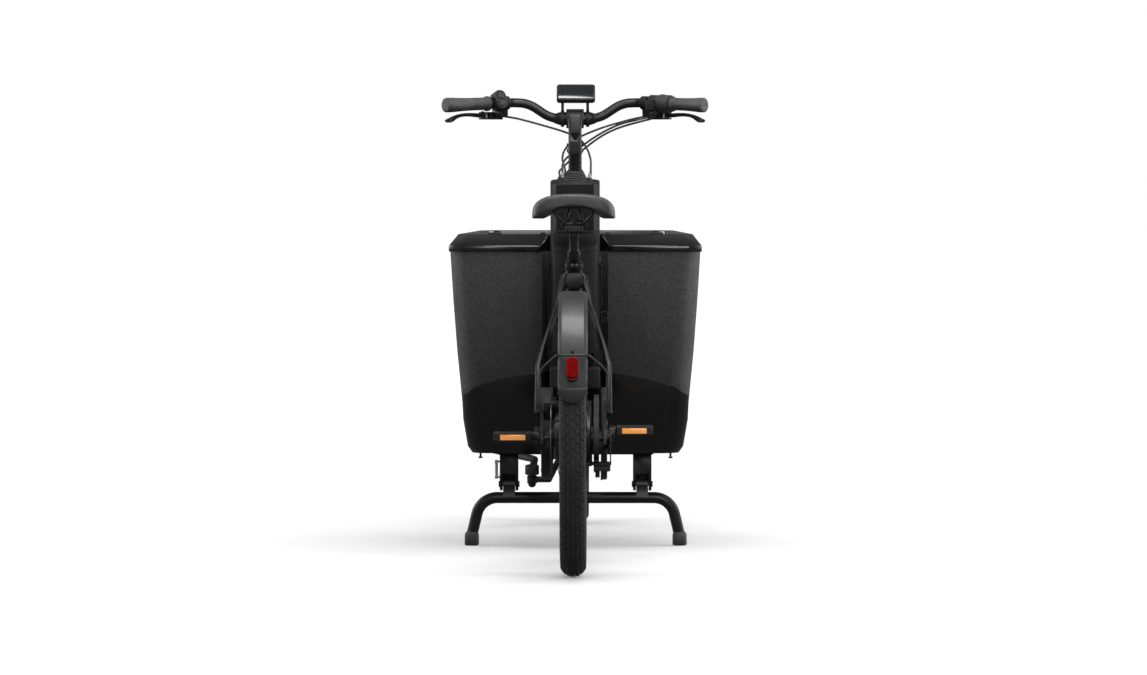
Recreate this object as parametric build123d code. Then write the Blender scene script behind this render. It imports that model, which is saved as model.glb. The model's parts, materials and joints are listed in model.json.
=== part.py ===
from build123d import *
import os
from math import asin, atan2, cos, hypot, pi, radians, sin, tan

# Front-loading cargo bicycle, long-john layout, on its two-legged centre stand.
# Millimetres. +Y is the travel direction, +X the rider's right, +Z up. The model is drawn with
# the rear axle above Y = 0 and moved by ORIGIN_Y at export, so that the origin lies on the ground
# at the middle of the bicycle's length.

# ---------------------------------------------------------------- driving dimensions
REAR_R = 313.0          # 62-507 tyre
FRONT_R = 264.0         # 62-406 tyre
TYRE_W = 62.0
WHEELBASE = 2050.0
TILT = 12.0             # steering axes lean back from the vertical, degrees
COLUMN_Y = 985.0        # steering axis, where it passes COLUMN_Z
COLUMN_Z = 190.0
ARM = 105.0             # lever arm of both steering links
LINK_FRONT_Z = 330.0    # height of the fork's ball joint
BB_Y, BB_Z = 470.0, 303.0
CRANK = 170.0
CRANK_IN, CRANK_OUT = 81.0, 93.0
SEAT_ANGLE = 69.0
BELT_X = 52.0           # belt line
BELT_W = 12.0
BELT_PITCH = 11.0
RING_TEETH, SPROCKET_TEETH = 50, 24
BOX_BOTTOM, BOX_TOP = 230.0, 721.0
BOX_WALL = 26.0
SEAM_Z, SEAM_RISE, SEAM_HALF = 345.0, 87.0, 279.0   # elliptical line between shell and tray
HOUSING_TOP = 893.0
BAR_Y, BAR_Z = 838.0, 1041.0
GRIP_Z = 1079.0
BAR_SWEEP = 33.0        # grips sweep back, degrees
STAND_PIVOT_Y, STAND_PIVOT_Z = 1108.0, 151.0
STAND_X = 162.5         # middle of each stand bracket
RUN = 0.05              # running clearance on a radius
GAP = 0.4               # gap between parts that move past each other
ORIGIN_Y = 990.0        # where the origin lies, in front of the rear axle

tilt = radians(TILT)
AXIS = Vector(0, -sin(tilt), cos(tilt))
REAR_AXLE = (0, 0, REAR_R)
FRONT_AXLE = (0, WHEELBASE, FRONT_R)


def column_y(z):
    """Y of the steering column's axis at height z."""
    return COLUMN_Y - (z - COLUMN_Z) * tan(tilt)


def fork_y(z):
    """Y of the fork's steering axis at height z: it passes through the front axle."""
    return WHEELBASE - (z - FRONT_R) * tan(tilt)


def seat_y(z):
    """Y of the seat tube's axis at height z."""
    return BB_Y - (z - BB_Z) / tan(radians(SEAT_ANGLE))


def column_point(z, x=0.0, forward=0.0):
    return Vector(x, column_y(z), z) + Vector(0, cos(tilt), sin(tilt)) * forward


# ---------------------------------------------------------------- shape helpers
def bar(a, b, r, bore=0.0):
    """Round bar or tube from a to b."""
    a, b = Vector(*a), Vector(*b)
    plane = Plane(origin=a, z_dir=b - a)
    face = Circle(r) - Circle(bore) if bore else Circle(r)
    return extrude(plane * face, (b - a).length)


def bent(points, r, radius, bore=0.0):
    """Round tube along straight runs joined by arcs of one radius, or of a list of radii."""
    path = FilletPolyline(*points, radius=radius)
    plane = Plane(origin=path @ 0, z_dir=path % 0)
    solid = sweep(plane * Circle(r), path=path)
    if bore:
        solid -= sweep(plane * Circle(bore), path=path)
    return solid


def flowing(points, r):
    """Solid cable along a route, with each arc as large as its two runs allow."""
    route = [Vector(*p) for p in points]
    radii = []
    for before, here, after in zip(route, route[1:], route[2:]):
        turn = radians((here - before).get_angle(after - here))
        run = min((here - before).length, (after - here).length)
        radii.append(0.45 * run / tan(turn / 2))
    path = FilletPolyline(*route, radius=radii)
    return sweep(Plane(origin=path @ 0, z_dir=path % 0) * Circle(r), path=path)


def turned(profile, centre=(0, 0, 0)):
    """Solid of revolution about X from (x, radius) points."""
    return Pos(*centre) * revolve(make_face(Polyline(*profile, close=True)), Axis.X)


def plate(outline, x0, x1):
    """Plate between x0 and x1 from a (y, z) outline."""
    face = make_face(Polyline(*[(0, y, z) for y, z in outline], close=True))
    return Pos(x0, 0, 0) * extrude(face, x1 - x0, dir=(1, 0, 0))


def block(x0, x1, y0, y1, z0, z1, edge=0.0):
    solid = Pos((x0 + x1) / 2, (y0 + y1) / 2, (z0 + z1) / 2) * Box(x1 - x0, y1 - y0, z1 - z0)
    return fillet(solid.edges(), edge) if edge else solid


def mirrored(solid):
    return mirror(solid, about=Plane.YZ)


def both(solid):
    return [solid, mirrored(solid)]


def group(parts):
    """One node of several separate solids."""
    solids = [s for part in parts for s in part.solids()]
    return Compound(children=solids) if len(solids) > 1 else solids[0]


def column_plane(z, x=0.0, forward=0.0):
    return Plane(origin=column_point(z, x, forward), x_dir=(1, 0, 0), z_dir=AXIS)


# ---------------------------------------------------------------- wheels
HUB_FLANGE_GAP = 4.5


def tyre(radius):
    section_r, wall = TYRE_W / 2, 5.0
    centre = radius - section_r
    seat = radius - 55.0
    section = Pos(0, centre) * (Circle(section_r) - Circle(section_r - wall))
    section -= Pos(0, seat - 50) * Rectangle(2 * TYRE_W, 100)
    return revolve(section, Axis.X)


def rim(radius):
    seat, half = radius - 55.0, 18.5
    return turned([(-half, seat), (-half + 3, seat - 12), (-8, seat - 20), (8, seat - 20),
                   (half - 3, seat - 12), (half, seat), (9.5, seat), (8, seat - 7),
                   (-8, seat - 7), (-9.5, seat)])


def spokes(radius, count, flange_r, flange_x, spoke_r=1.1):
    """Straight spokes, alternately in front of and behind each flange."""
    rim_r = radius - 55.0 - 20.3
    lean = radians(360.0 / count * 1.6)
    made = []
    for k in range(count):
        side = 1 if k % 2 else -1
        pulling = 1 if (k // 2) % 2 else -1
        rim_a = 2 * pi * k / count
        hub_a = rim_a + pulling * lean
        x = side * flange_x + pulling * HUB_FLANGE_GAP
        start = (x, flange_r * cos(hub_a), flange_r * sin(hub_a))
        end = (side * 4.0, rim_r * cos(rim_a), rim_r * sin(rim_a))
        made.append(bar(start, end, spoke_r))
    return made


def rotor(diameter, x, inner=22.0):
    """Brake disc with a slotted brake track and six arms."""
    r = diameter / 2
    track = Circle(r) - Circle(r - 15)
    hub = Circle(inner + 8) - Circle(inner)
    arms = [Rot(0, 0, 60 * k) * (Pos(r / 2 + 8, 0) * Rectangle(r - 26, 7)) for k in range(6)]
    holes = [Rot(0, 0, 15 * k) * (Pos(r - 7.5, 0) * Circle(2.6)) for k in range(24)]
    face = track + hub
    for arm in arms:
        face += arm
    face -= Circle(inner)
    for hole in holes:
        face -= hole
    return Pos(x - 1, 0, 0) * extrude(Plane.YZ * face, 2, dir=(1, 0, 0))


AXLE_R = 6.0
REAR_FLANGE_R, REAR_FLANGE_X = 67.0, 30.0
FRONT_FLANGE_R, FRONT_FLANGE_X = 29.0, 24.0
REAR_ROTOR_X, FRONT_ROTOR_X = -50.5, -36.0


def rear_hub():
    """Large continuously variable gear hub: shell, two spoke flanges and a rotor seat."""
    bore = AXLE_R + RUN
    flange, x = REAR_FLANGE_R + 4, REAR_FLANGE_X
    return turned([(-54, bore), (-54, 21.8), (-46, 21.8), (-46, 30), (-40, 52), (-x - 1.7, 60),
                   (-x - 1.7, flange), (-x + 1.7, flange), (-x + 1.7, 60), (x - 1.7, 60),
                   (x - 1.7, flange), (x + 1.7, flange), (x + 1.7, 60), (38, 52), (41, 28),
                   (44, 28), (44, bore)])


def front_hub():
    bore = AXLE_R + RUN
    flange, x = FRONT_FLANGE_R + 4, FRONT_FLANGE_X
    return turned([(-46, bore), (-46, 11), (-42, 21.8), (-34.8, 21.8), (-34.8, 28), (-31, 28),
                   (-28, 20), (-x - 1.6, 20), (-x - 1.6, flange), (-x + 1.6, flange),
                   (-x + 1.6, 17), (x - 1.6, 17), (x - 1.6, flange), (x + 1.6, flange),
                   (x + 1.6, 19), (34, 14), (46, 11), (46, bore)])


# ---------------------------------------------------------------- belt drive
def gear(teeth, x_mid, bore, web_out):
    """Toothed belt wheel; the belt runs just outside its teeth."""
    r = teeth * BELT_PITCH / (2 * pi)
    half = BELT_W / 2 - 0.5
    body = turned([(x_mid - half, bore), (x_mid - half, r - 3), (x_mid + half, r - 3),
                   (x_mid + half, bore)])
    tooth = [Rot(360.0 / teeth * k, 0, 0) * (Pos(x_mid, r - 2.6, 0) * Box(2 * half, 3.2, 5.0))
             for k in range(teeth)]
    body = body.fuse(*tooth)
    if web_out:
        window = turned([(x_mid - 9, bore + 14), (x_mid - 9, r - 14), (x_mid + 9, r - 14),
                         (x_mid + 9, bore + 14)])
        arms = [Rot(90 * k, 0, 0) * (Pos(x_mid, (r + bore) / 2, 0) * Box(20, r, 16))
                for k in range(4)]
        for arm in arms:
            window -= arm
        body -= window
    return body


def belt():
    """Closed belt round both wheels, clear of their teeth."""
    thick = 4.0
    front_r = RING_TEETH * BELT_PITCH / (2 * pi) + GAP - 0.9
    rear_r = SPROCKET_TEETH * BELT_PITCH / (2 * pi) + GAP - 0.9
    front, rear = (BB_Y, BB_Z), (0.0, REAR_R)

    def outline(extra):
        (y1, z1), (y2, z2) = front, rear
        r1, r2 = front_r + extra, rear_r + extra
        dy, dz = y1 - y2, z1 - z2
        base = atan2(dz, dy)
        spread = pi / 2 + asin((r1 - r2) / hypot(dy, dz))
        top, low = base + spread, base - spread
        pts = [(y2 + r2 * cos(top), z2 + r2 * sin(top)), (y1 + r1 * cos(top), z1 + r1 * sin(top)),
               (y1 + r1 * cos(low), z1 + r1 * sin(low)), (y2 + r2 * cos(low), z2 + r2 * sin(low))]
        front_mid = (y1 + r1 * cos(base), z1 + r1 * sin(base))
        rear_mid = (y2 - r2 * cos(base), z2 - r2 * sin(base))
        edges = [Line(pts[0], pts[1]), ThreePointArc(pts[1], front_mid, pts[2]),
                 Line(pts[2], pts[3]), ThreePointArc(pts[3], rear_mid, pts[0])]
        return make_face(edges)

    loop = outline(thick) - outline(0.0)
    return Pos(BELT_X - BELT_W / 2, 0, 0) * extrude(Plane.YZ * loop, BELT_W, dir=(1, 0, 0))


# ---------------------------------------------------------------- cranks and pedals
def crank_arm(side, forward):
    """One crank arm; forward is +1 when it points ahead."""
    x0, x1 = (CRANK_IN, CRANK_OUT) if side > 0 else (-CRANK_OUT, -CRANK_IN)
    reach = forward * CRANK
    arm = plate([(BB_Y, BB_Z + 17), (BB_Y + reach, BB_Z + 12), (BB_Y + reach, BB_Z - 12),
                 (BB_Y, BB_Z - 17)], x0, x1)
    arm += bar((x0, BB_Y, BB_Z), (x1, BB_Y, BB_Z), 17)
    arm += bar((x0, BB_Y + reach, BB_Z), (x1, BB_Y + reach, BB_Z), 12)
    return arm - bar((x0 - 1, BB_Y + reach, BB_Z), (x1 + 1, BB_Y + reach, BB_Z), 7.0 + RUN)


def cranks():
    left, right = crank_arm(-1, -1), crank_arm(1, 1)
    spindle = bar((-CRANK_IN, BB_Y, BB_Z), (CRANK_IN, BB_Y, BB_Z), 12)
    return [left, right, spindle]


PEDAL_LEN, PEDAL_DEPTH, PEDAL_H = 88.0, 86.0, 22.0


def pedal(side, forward):
    """Cage pedal on its axle, with a reflector in its front and rear faces."""
    y, z = BB_Y + forward * CRANK, BB_Z
    inner, length = CRANK_OUT + GAP + 3.6, PEDAL_LEN
    shell = block(inner, inner + length, y - PEDAL_DEPTH / 2, y + PEDAL_DEPTH / 2,
                  z - PEDAL_H / 2, z + PEDAL_H / 2, 4.0)
    for end in (-1, 1):
        well = end * (PEDAL_DEPTH / 4 + 3)
        shell -= block(inner + 14, inner + length - 12, y + well - 11, y + well + 11, z - 40, z + 40)
        shell -= block(inner + 15, inner + 73, y + end * PEDAL_DEPTH / 2 - 3,
                       y + end * PEDAL_DEPTH / 2 + 3, z - 6.2, z + 6.2)
    axle = bar((CRANK_IN + 0.5, y, z), (CRANK_OUT + 0.1, y, z), 7.0)
    axle += bar((CRANK_OUT + 0.1, y, z), (inner + length - 8, y, z), 6.0)
    axle += bar((CRANK_OUT + GAP, y, z), (inner, y, z), 10.0)
    shell -= bar((inner - 1, y, z), (inner + length - 8, y, z), 6.0)
    reflectors = [block(inner + 15, inner + 73, y + end * (PEDAL_DEPTH / 2 - 1.5) - 1.5,
                        y + end * (PEDAL_DEPTH / 2 - 1.5) + 1.5, z - 6.2, z + 6.2)
                  for end in (-1, 1)]
    solids = [shell, axle, *reflectors]
    return solids if side > 0 else [mirrored(s) for s in solids]


# ---------------------------------------------------------------- frame
BEAM_R, BEAM_Z = 29.0, 190.0
MAST_R, MAST_BORE = 28.0, 24.0
COLUMN_R = 15.9
MAST_LOW, MAST_HIGH = 292.0, 872.0
HEAD_LOW, HEAD_HIGH = 592.0, 700.0
SEAT_TUBE_R, POST_R = 19.0, 13.6
SEAT_TUBE_TOP = 690.0


def axis_tube(z0, z1, r, bore, where):
    a, b = (0, where(z0), z0), (0, where(z1), z1)
    return bar(a, b, r, bore)


def main_frame():
    """Seat tube, lower beam with its front neck, brace, steering mast and front head tube."""
    beam = bent([(0, 505, 285), (0, 940, BEAM_Z), (0, 1630, BEAM_Z), (0, 1712, 320), (0, 1800, 565),
                 (0, 1958, 655)], BEAM_R, 110)
    brace = bar((0, 520, 340), (0, column_y(420), 420), 24)
    strut = bar((0, 800, 225), (0, column_y(340), 340), 18)
    frame = beam + brace + strut
    frame += axis_tube(MAST_LOW, MAST_HIGH, MAST_R, 0, column_y)
    frame += axis_tube(HEAD_LOW, HEAD_HIGH, 24, 0, fork_y)
    frame += bar((0, seat_y(370), 370), (0, seat_y(SEAT_TUBE_TOP), SEAT_TUBE_TOP), SEAT_TUBE_R)
    frame += bar((0, seat_y(470), 470), (0, 610, 356), 14)
    frame -= axis_tube(MAST_LOW - 40, MAST_HIGH + 40, MAST_BORE, 0, column_y)
    frame -= axis_tube(HEAD_LOW - 40, HEAD_HIGH + 40, 20, 0, fork_y)
    frame -= bar((0, seat_y(440), 440), (0, seat_y(760), 760), POST_R + RUN)
    for y in (1118.0, 1500.0):
        frame += block(-25, 25, y - 30, y + 30, BEAM_Z, 224)
        frame += block(-190, 190, y - 30, y + 30, 224, BOX_BOTTOM)
    frame -= bar((-60, BB_Y, BB_Z), (60, BB_Y, BB_Z), 77)
    return frame.solids().sort_by(SortBy.VOLUME)[-1]


def stay_section(y, z, x, width, depth, direction):
    plane = Plane(origin=(x, y, z), x_dir=(1, 0, 0), z_dir=direction)
    return plane * RectangleRounded(width, depth, min(width, depth) * 0.35)


def rear_stays():
    """Chain stays, seat stays and dropouts of the rear triangle, in one weldment."""
    top, low = Vector(0, 330, 670), Vector(0, 40, 362)
    along = (low - top).normalized()
    stations = [(0.0, 24, 14), (0.22, 38, 10), (0.52, 70, 10), (0.66, 81, 13), (1.0, 81, 14)]
    sections = []
    for share, x, width in stations:
        p = top + (low - top) * share
        sections.append(stay_section(p.Y, p.Z, x, width, 26 - 4 * share, along))
    seat_stay = loft(sections, ruled=True)
    chain_top = Vector(32, 402, 300)
    chain_low = Vector(73.5, 22, 306)
    run = (chain_low - chain_top).normalized()
    chain_stay = loft([stay_section(p.Y, p.Z, p.X, w, 34, run)
                       for p, w in ((chain_top, 18), ((chain_top + chain_low) / 2, 17),
                                    (chain_low, 12))], ruled=True)
    dropout = plate([(-26, 300), (-14, 288), (40, 286), (58, 300), (62, 322), (86, 372), (60, 396),
                     (34, 386), (6, 340), (-22, 334)], 67.5, 75.5)
    side = seat_stay + chain_stay + dropout
    side -= bar((60, 0, REAR_R), (80, 0, REAR_R), AXLE_R)
    side -= bar((60, 57, 380), (95, 57, 380), 2.5)
    cluster = loft([Pos(0, 324, z) * RectangleRounded(width, 46, 9)
                    for z, width in ((646, 44), (656, 60), (670, 60), (681, 48))], ruled=True)
    bridge = bar((-68, 196, 535), (68, 196, 535), 6) - bar((-34, 0, 535), (34, 0, 535), 1)
    yoke = block(-43, 43, 382, 404, 286, 316)
    stays = side + mirrored(side) + cluster + yoke
    stays -= bar((0, seat_y(300), 300), (0, seat_y(800), 800), SEAT_TUBE_R)
    stays -= bar((-60, BB_Y, BB_Z), (60, BB_Y, BB_Z), 77)
    axle = bar((-82, 0, REAR_R), (82, 0, REAR_R), AXLE_R)
    nuts = [bar((75.5, 0, REAR_R), (82, 0, REAR_R), 11, AXLE_R)]
    nuts.append(mirrored(nuts[0]))
    return [stays.solids().sort_by(SortBy.VOLUME)[-1], axle, *nuts]


def bearings():
    """Cartridge bearings of the steering mast and of the fork's head tube."""
    rings = []
    for z0, z1, where, outer, inner in (
            (MAST_LOW + 1, MAST_LOW + 13, column_y, MAST_BORE, COLUMN_R + RUN),
            (MAST_HIGH - 13, MAST_HIGH - 1, column_y, MAST_BORE, COLUMN_R + RUN),
            (HEAD_LOW + 1, HEAD_LOW + 11, fork_y, 20, 14.3 + RUN),
            (HEAD_HIGH - 11, HEAD_HIGH - 1, fork_y, 20, 14.3 + RUN)):
        rings.append(axis_tube(z0, z1, outer, inner, where))
    return rings


def drive_unit():
    """Mid motor with its round side covers; the belt wheel turns behind the right cover."""
    cover_r = 108.0
    motor = bar((-40, BB_Y, BB_Z), (42, BB_Y, BB_Z), 77)
    motor -= bar((-60, BB_Y, BB_Z), (60, BB_Y, BB_Z), 12 + RUN)
    left = bar((-77, BB_Y, BB_Z), (-50, BB_Y, BB_Z), cover_r)
    left += bar((-50, BB_Y, BB_Z), (-40, BB_Y, BB_Z), 60)
    left -= bar((-90, BB_Y, BB_Z), (-30, BB_Y, BB_Z), 12 + RUN)
    right = bar((62, BB_Y, BB_Z), (77, BB_Y, BB_Z), cover_r)
    right -= bar((60, BB_Y, BB_Z), (90, BB_Y, BB_Z), 24)
    return [motor, left, right]


def seat_clamp():
    ring = bar((0, seat_y(690), 690), (0, seat_y(706), 706), 21, POST_R + RUN)
    y = seat_y(698) - 22
    lug = block(-9, 9, y - 7, y + 5, 692, 703)
    lug -= bar((0, seat_y(600), 600), (0, seat_y(760), 760), 20)
    slot = block(-1, 1, y - 10, y + 12, 680, 715)
    bolt = bar((-13, y - 3, 698), (13, y - 3, 698), 2.5)
    return [(ring + lug) - slot - bolt, bolt]


def arc_channel(radius, half, depth, start, sweep_deg, wall=2.4):
    """Mudguard channel from start degrees ahead of the axle, over the top, for sweep_deg."""
    crown = half - 8
    section = make_face(Polyline(
        (-half, radius - depth), (-half, radius - 7), (-crown, radius), (crown, radius),
        (half, radius - 7), (half, radius - depth), (half - wall, radius - depth),
        (half - wall, radius - 8), (crown - 1, radius - wall), (1 - crown, radius - wall),
        (wall - half, radius - 8), (wall - half, radius - depth), close=True))
    return Rot(start, 0, 0) * revolve(section, Axis.X, sweep_deg)


def rear_fender():
    """Mudguard with its rounded flap, the wire stay round it and the stay's eyes."""
    guard = Pos(*REAR_AXLE) * arc_channel(333, 33, 18, 22, 138)
    flap_y = -REAR_R + 4
    flap = bar((0, flap_y - 4, 438), (0, flap_y + 4, 438), 33)
    flap &= block(-33, 33, flap_y - 10, flap_y + 10, 400, 438)
    y, z = -340 * cos(radians(35.4)), REAR_R + 340 * sin(radians(35.4))
    wire = bent([(-76, 46, 460), (-66, -60, 478), (-36.6, y, z), (36.6, y, z), (66, -60, 478),
                 (76, 46, 460)], 2.2, 14)
    return [guard + flap, wire - (guard + flap)]


def rear_light():
    """Tail lamp: housing on the mudguard with a tall lens."""
    a = radians(29.4)
    centre = Vector(0, -333 * cos(a), REAR_R + 333 * sin(a))
    plane = Plane(origin=centre, x_dir=(1, 0, 0), z_dir=(0, -cos(a), sin(a)))
    housing = extrude(plane * RectangleRounded(24, 58, 9), 8)
    lens = extrude(plane.offset(8) * RectangleRounded(27, 50, 11), 10)
    return [housing, lens]


def rear_caliper():
    """Two-piston caliper over the rear disc, on the left chain stay."""
    x = REAR_ROTOR_X
    body = block(x - 17, x + 15, 20, 62, 352, 396, 4)
    body -= block(x - 1.8, x + 1.8, 0, 80, 300, 392)
    body -= bar((-90, 0, REAR_R), (x + 4, 0, REAR_R), 62)
    body -= bar((x + 3, 0, REAR_R), (0, 0, REAR_R), 74)
    body -= plate([(-30, 280), (90, 280), (90, 420), (-30, 420)], -90, -67.4)
    banjo = bar((x + 4, 30, 396), (x + 4, 30, 404), 6)
    return [body, banjo]


def belt_guard():
    """Guard plate outside the rear belt wheel with a lip and a cable block under it."""
    plate_out = plate([(-46, 258), (52, 258), (70, 300), (60, 330), (14, 326), (8, 330), (-8, 330),
                       (-14, 326), (-46, 318)], 83, 86)
    lip = block(42, 86, -46, 52, 254, 258)
    stand_off = bar((75.5, 40, 310), (83, 40, 310), 5)
    cable_block = block(46, 84, -40, 0, 240, 254, 2)
    tab = block(50, 60, -34, -22, 226, 240) + block(62, 66, -34, -28, 220, 240)
    return [plate_out + lip + stand_off + cable_block + tab]


# ---------------------------------------------------------------- cargo box
# height, rear half width, front half width
BOX_LEVELS = [(230.0, 256.0, 206.0), (246.0, 267.0, 216.0), (311.0, 277.5, 227.0),
              (352.0, 279.0, 231.0), (480.0, 290.0, 245.0), (600.0, 298.0, 255.0),
              (BOX_TOP, 304.5, 264.0)]


def box_rear_y(z):
    return 1020.0 - (z - 235.0) * 0.2474


def box_front_y(z):
    return 1600.0 + (z - 235.0) * 0.36


def box_section(z, rear_half, front_half, inset=0.0):
    """Level section of the box, narrower at the front, with rounded corners."""
    y0, y1 = box_rear_y(z) + inset, box_front_y(z) - inset
    face = make_face(Polyline((-rear_half + inset, y0), (rear_half - inset, y0),
                              (front_half - inset, y1), (inset - front_half, y1), close=True))
    return Pos(0, 0, z) * fillet(face.vertices(), 52.0 - inset * 0.6)


def box_body(inset, levels):
    """Solid of the box's outline, moved in by inset."""
    return loft([box_section(*level, inset=inset) for level in levels], ruled=True)


def channel(mouth, deep, depth, extra):
    """Prism behind the box that the steering mast stands in; extra thickens it."""
    outline = [(-mouth - extra, -60.0), (mouth + extra, -60.0), (mouth + extra, 0.0),
               (deep + extra, depth + extra), (-deep - extra, depth + extra),
               (-mouth - extra, 0.0)]
    faces = []
    for z in (BOX_BOTTOM - 20, BOX_TOP + 60):
        faces.append(Pos(0, box_rear_y(z), z) * make_face(Polyline(*outline, close=True)))
    return loft(faces, ruled=True)


def box_tub():
    """Walls and floor of the box, and the room inside it."""
    outer = box_body(0.0, BOX_LEVELS)
    floor = (BOX_BOTTOM + BOX_WALL, 270.0, 219.0)
    over = (BOX_TOP + 5, *BOX_LEVELS[-1][1:])
    inner = box_body(BOX_WALL, [floor, *BOX_LEVELS[2:], over])
    bulge = channel(79, 62, 44, BOX_WALL * 0.7) & outer
    tub = (outer - inner) + bulge - channel(79, 62, 44, 0)
    room = inner - channel(79, 62, 44, BOX_WALL * 0.7)
    return tub, room


def below_seam():
    """Everything under the elliptical seam between the lower tray and the upper shell."""
    face = Ellipse(SEAM_HALF + 6, SEAM_RISE) + Pos(0, -150) * Rectangle(800, 300)
    plane = Plane(origin=(0, 700, SEAM_Z), x_dir=(1, 0, 0), z_dir=(0, -1, 0))
    return extrude(plane * face, 1400, both=True)


BENCH_TOP, BENCH_DEPTH = 440.0, 300.0


def box_parts():
    """Upper foam shell with its bench, lower tray and glossy rim."""
    tub, room = box_tub()
    low = below_seam()
    tray, shell = tub & low, tub - low
    seat = block(-320, 320, 880, box_rear_y(BENCH_TOP) + BENCH_DEPTH, BOX_BOTTOM + BOX_WALL,
                 BENCH_TOP)
    hollow = block(-320, 320, 880, box_rear_y(BENCH_TOP) + BENCH_DEPTH - 22, 200, BENCH_TOP - 24)
    bench = (seat - hollow) & room
    return tray, shell, bench.solids().sort_by(SortBy.VOLUME)[-1]


RIM_STEP, RIM_TOP = 736.0, 763.0


def rim_section(z, side, rear, front, corner):
    y0 = box_rear_y(BOX_TOP) - 3 + rear
    y1 = box_front_y(BOX_TOP) + 5 - front
    face = make_face(Polyline((side - 307, y0), (307 - side, y0), (267 - side, y1),
                              (side - 267, y1), close=True))
    return Pos(0, 0, z) * chamfer(face.vertices(), corner)


def box_rim():
    """Moulded rim: an upright band, a face that slopes up and in, and a shallow dish behind."""
    lower = loft([rim_section(BOX_TOP, 0, 0, 0, 32), rim_section(RIM_STEP, 0, 0, 0, 32)],
                 ruled=True)
    upper = loft([rim_section(RIM_STEP, 0, 0, 0, 32), rim_section(RIM_TOP, 22, 58, 20, 32)],
                 ruled=True)
    hole = loft([rim_section(BOX_TOP - 5, 44, 84, 44, 26), rim_section(RIM_TOP + 5, 44, 84, 44, 26)],
                ruled=True)
    rim_solid = lower + upper - hole
    return rim_solid - channel(82, 66, 62, 0)


def bench_cushion():
    y = box_rear_y(BENCH_TOP) + 42
    pads = []
    for x in (-116.0, 116.0):
        pads.append(block(x - 108, x + 108, y + 26, y + 246, BENCH_TOP + GAP, BENCH_TOP + 38, 12))
    return pads


# ---------------------------------------------------------------- mast housing and battery
HOUSING = [(-45.0, -52.0), (-59.0, -26.0), (-59.0, 28.0), (-44.0, 50.0)]


def octagon(half):
    """Face that is the same on both sides, from its left-hand corners."""
    right = [(-x, y) for x, y in reversed(half)]
    return make_face(Polyline(*half, *right, close=True))


def column_housing():
    """Eight-sided cover round the mast, and the wider dock block at its foot."""
    start = column_plane(447.0)
    body = extrude(start * octagon(HOUSING), (HOUSING_TOP - 447.0) / cos(tilt) + 30)
    y = column_y(HOUSING_TOP)
    lid = Plane(origin=(0, y, HOUSING_TOP - 1.5), x_dir=(1, 0, 0), z_dir=(0, -sin(0.1), cos(0.1)))
    body -= extrude(lid * Rectangle(300, 300), 80)
    edge = body.faces().sort_by(Axis.Z)[-1].edges()
    body = chamfer(edge, 3)
    body -= axis_tube(400, 960, MAST_R, 0, column_y)
    body -= extrude(column_plane(MAST_HIGH) * Circle(44), 60)
    dock = block(-60, 60, column_y(420) - 98, column_y(420) + 20, 394, 446, 5)
    dock -= axis_tube(350, 500, MAST_R, 0, column_y)
    dock -= bar((0, 520, 340), (0, column_y(420), 420), 24)
    return [body, dock]


BATTERY_BACK = -52.6
BATTERY_TOP = 785.0


def battery():
    """Battery pack with a convex back and its handle cap."""
    low = 500.0
    plane = column_plane(low)
    back = BATTERY_BACK
    face = make_face([Line((-52.5, back), (52.5, back)), Line((52.5, back), (52.5, back - 34)),
                      ThreePointArc((52.5, back - 34), (0, back - 56), (-52.5, back - 34)),
                      Line((-52.5, back - 34), (-52.5, back))])
    length = (BATTERY_TOP - low) / cos(tilt)
    pack = extrude(plane * face, length - 26)
    pack = fillet([edge for edge in pack.edges() if edge.length > 200], 6)
    cap_plane = plane.offset(length - 25.6)
    cap = extrude(cap_plane * offset(face, 1.0), 25.6)
    cap -= extrude(column_plane(400.0) * (Pos(0, back + 25) * Rectangle(200, 50)), 600)
    grip = extrude(cap_plane.offset(8) * (Pos(0, back - 30) * Rectangle(60, 22)), 30)
    return [pack, cap - grip]


# ---------------------------------------------------------------- saddle
def seat_point(z):
    return (0, seat_y(z), z)


def seat_post():
    """Post with its boot collar, slimmer upper tube and two-bolt saddle clamp."""
    post = bar(seat_point(505), seat_point(714), POST_R)
    post += bar(seat_point(712), seat_point(732), 15)
    post += bar(seat_point(731), seat_point(776), 11)
    y = seat_y(790)
    head = block(-20, 20, y - 24, y + 24, 774, 794, 4)
    head += block(-29, 29, y - 17, y + 17, 790, 803, 3)
    for x in (-22, 22):
        head -= bar((x, y - 60, 797), (x, y + 60, 797), 3.5)
    bolts = [bar((0, y + d, 766), (0, y + d, 805), 3) for d in (-19, 19)]
    for bolt in bolts:
        head -= bolt
    return [post + head, *bolts]


def saddle_rails():
    y = seat_y(790)
    rail = bent([(22, y + 82, 808), (22, y + 62, 797), (22, y - 44, 797), (60, y - 104, 808)],
                3.5, 10)
    base = extrude(Pos(0, y, 807) * saddle_outline(0.66), 4.6)
    return [base + rail + mirrored(rail)]


def saddle_outline(share):
    """Plan of the saddle about the clamp, scaled by share."""
    right = [(0, 128), (16, 124), (22, 96), (30, 20), (62, -50), (88, -92), (92, -118), (78, -138),
             (40, -146), (0, -146)]
    left = [(-x, reach) for x, reach in reversed(right[1:-1])]
    return make_face(Spline(*[(x * share, y * share) for x, y in right + left], periodic=True))


def saddle():
    """Comfort saddle, wide at the rear, as one closed soft form."""
    levels = ((812, 0.93), (828, 1.0), (848, 0.98), (860, 0.88), (865, 0.7))
    return loft([Pos(0, seat_y(790), z) * saddle_outline(share) for z, share in levels])


# ---------------------------------------------------------------- steering
CAP_LOW = 874.0
LEFT_GLAND_X, RIGHT_GLAND_X = -30.0, 35.0


def steering_column():
    return [axis_tube(236, 1016, COLUMN_R, 12, column_y)]


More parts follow.
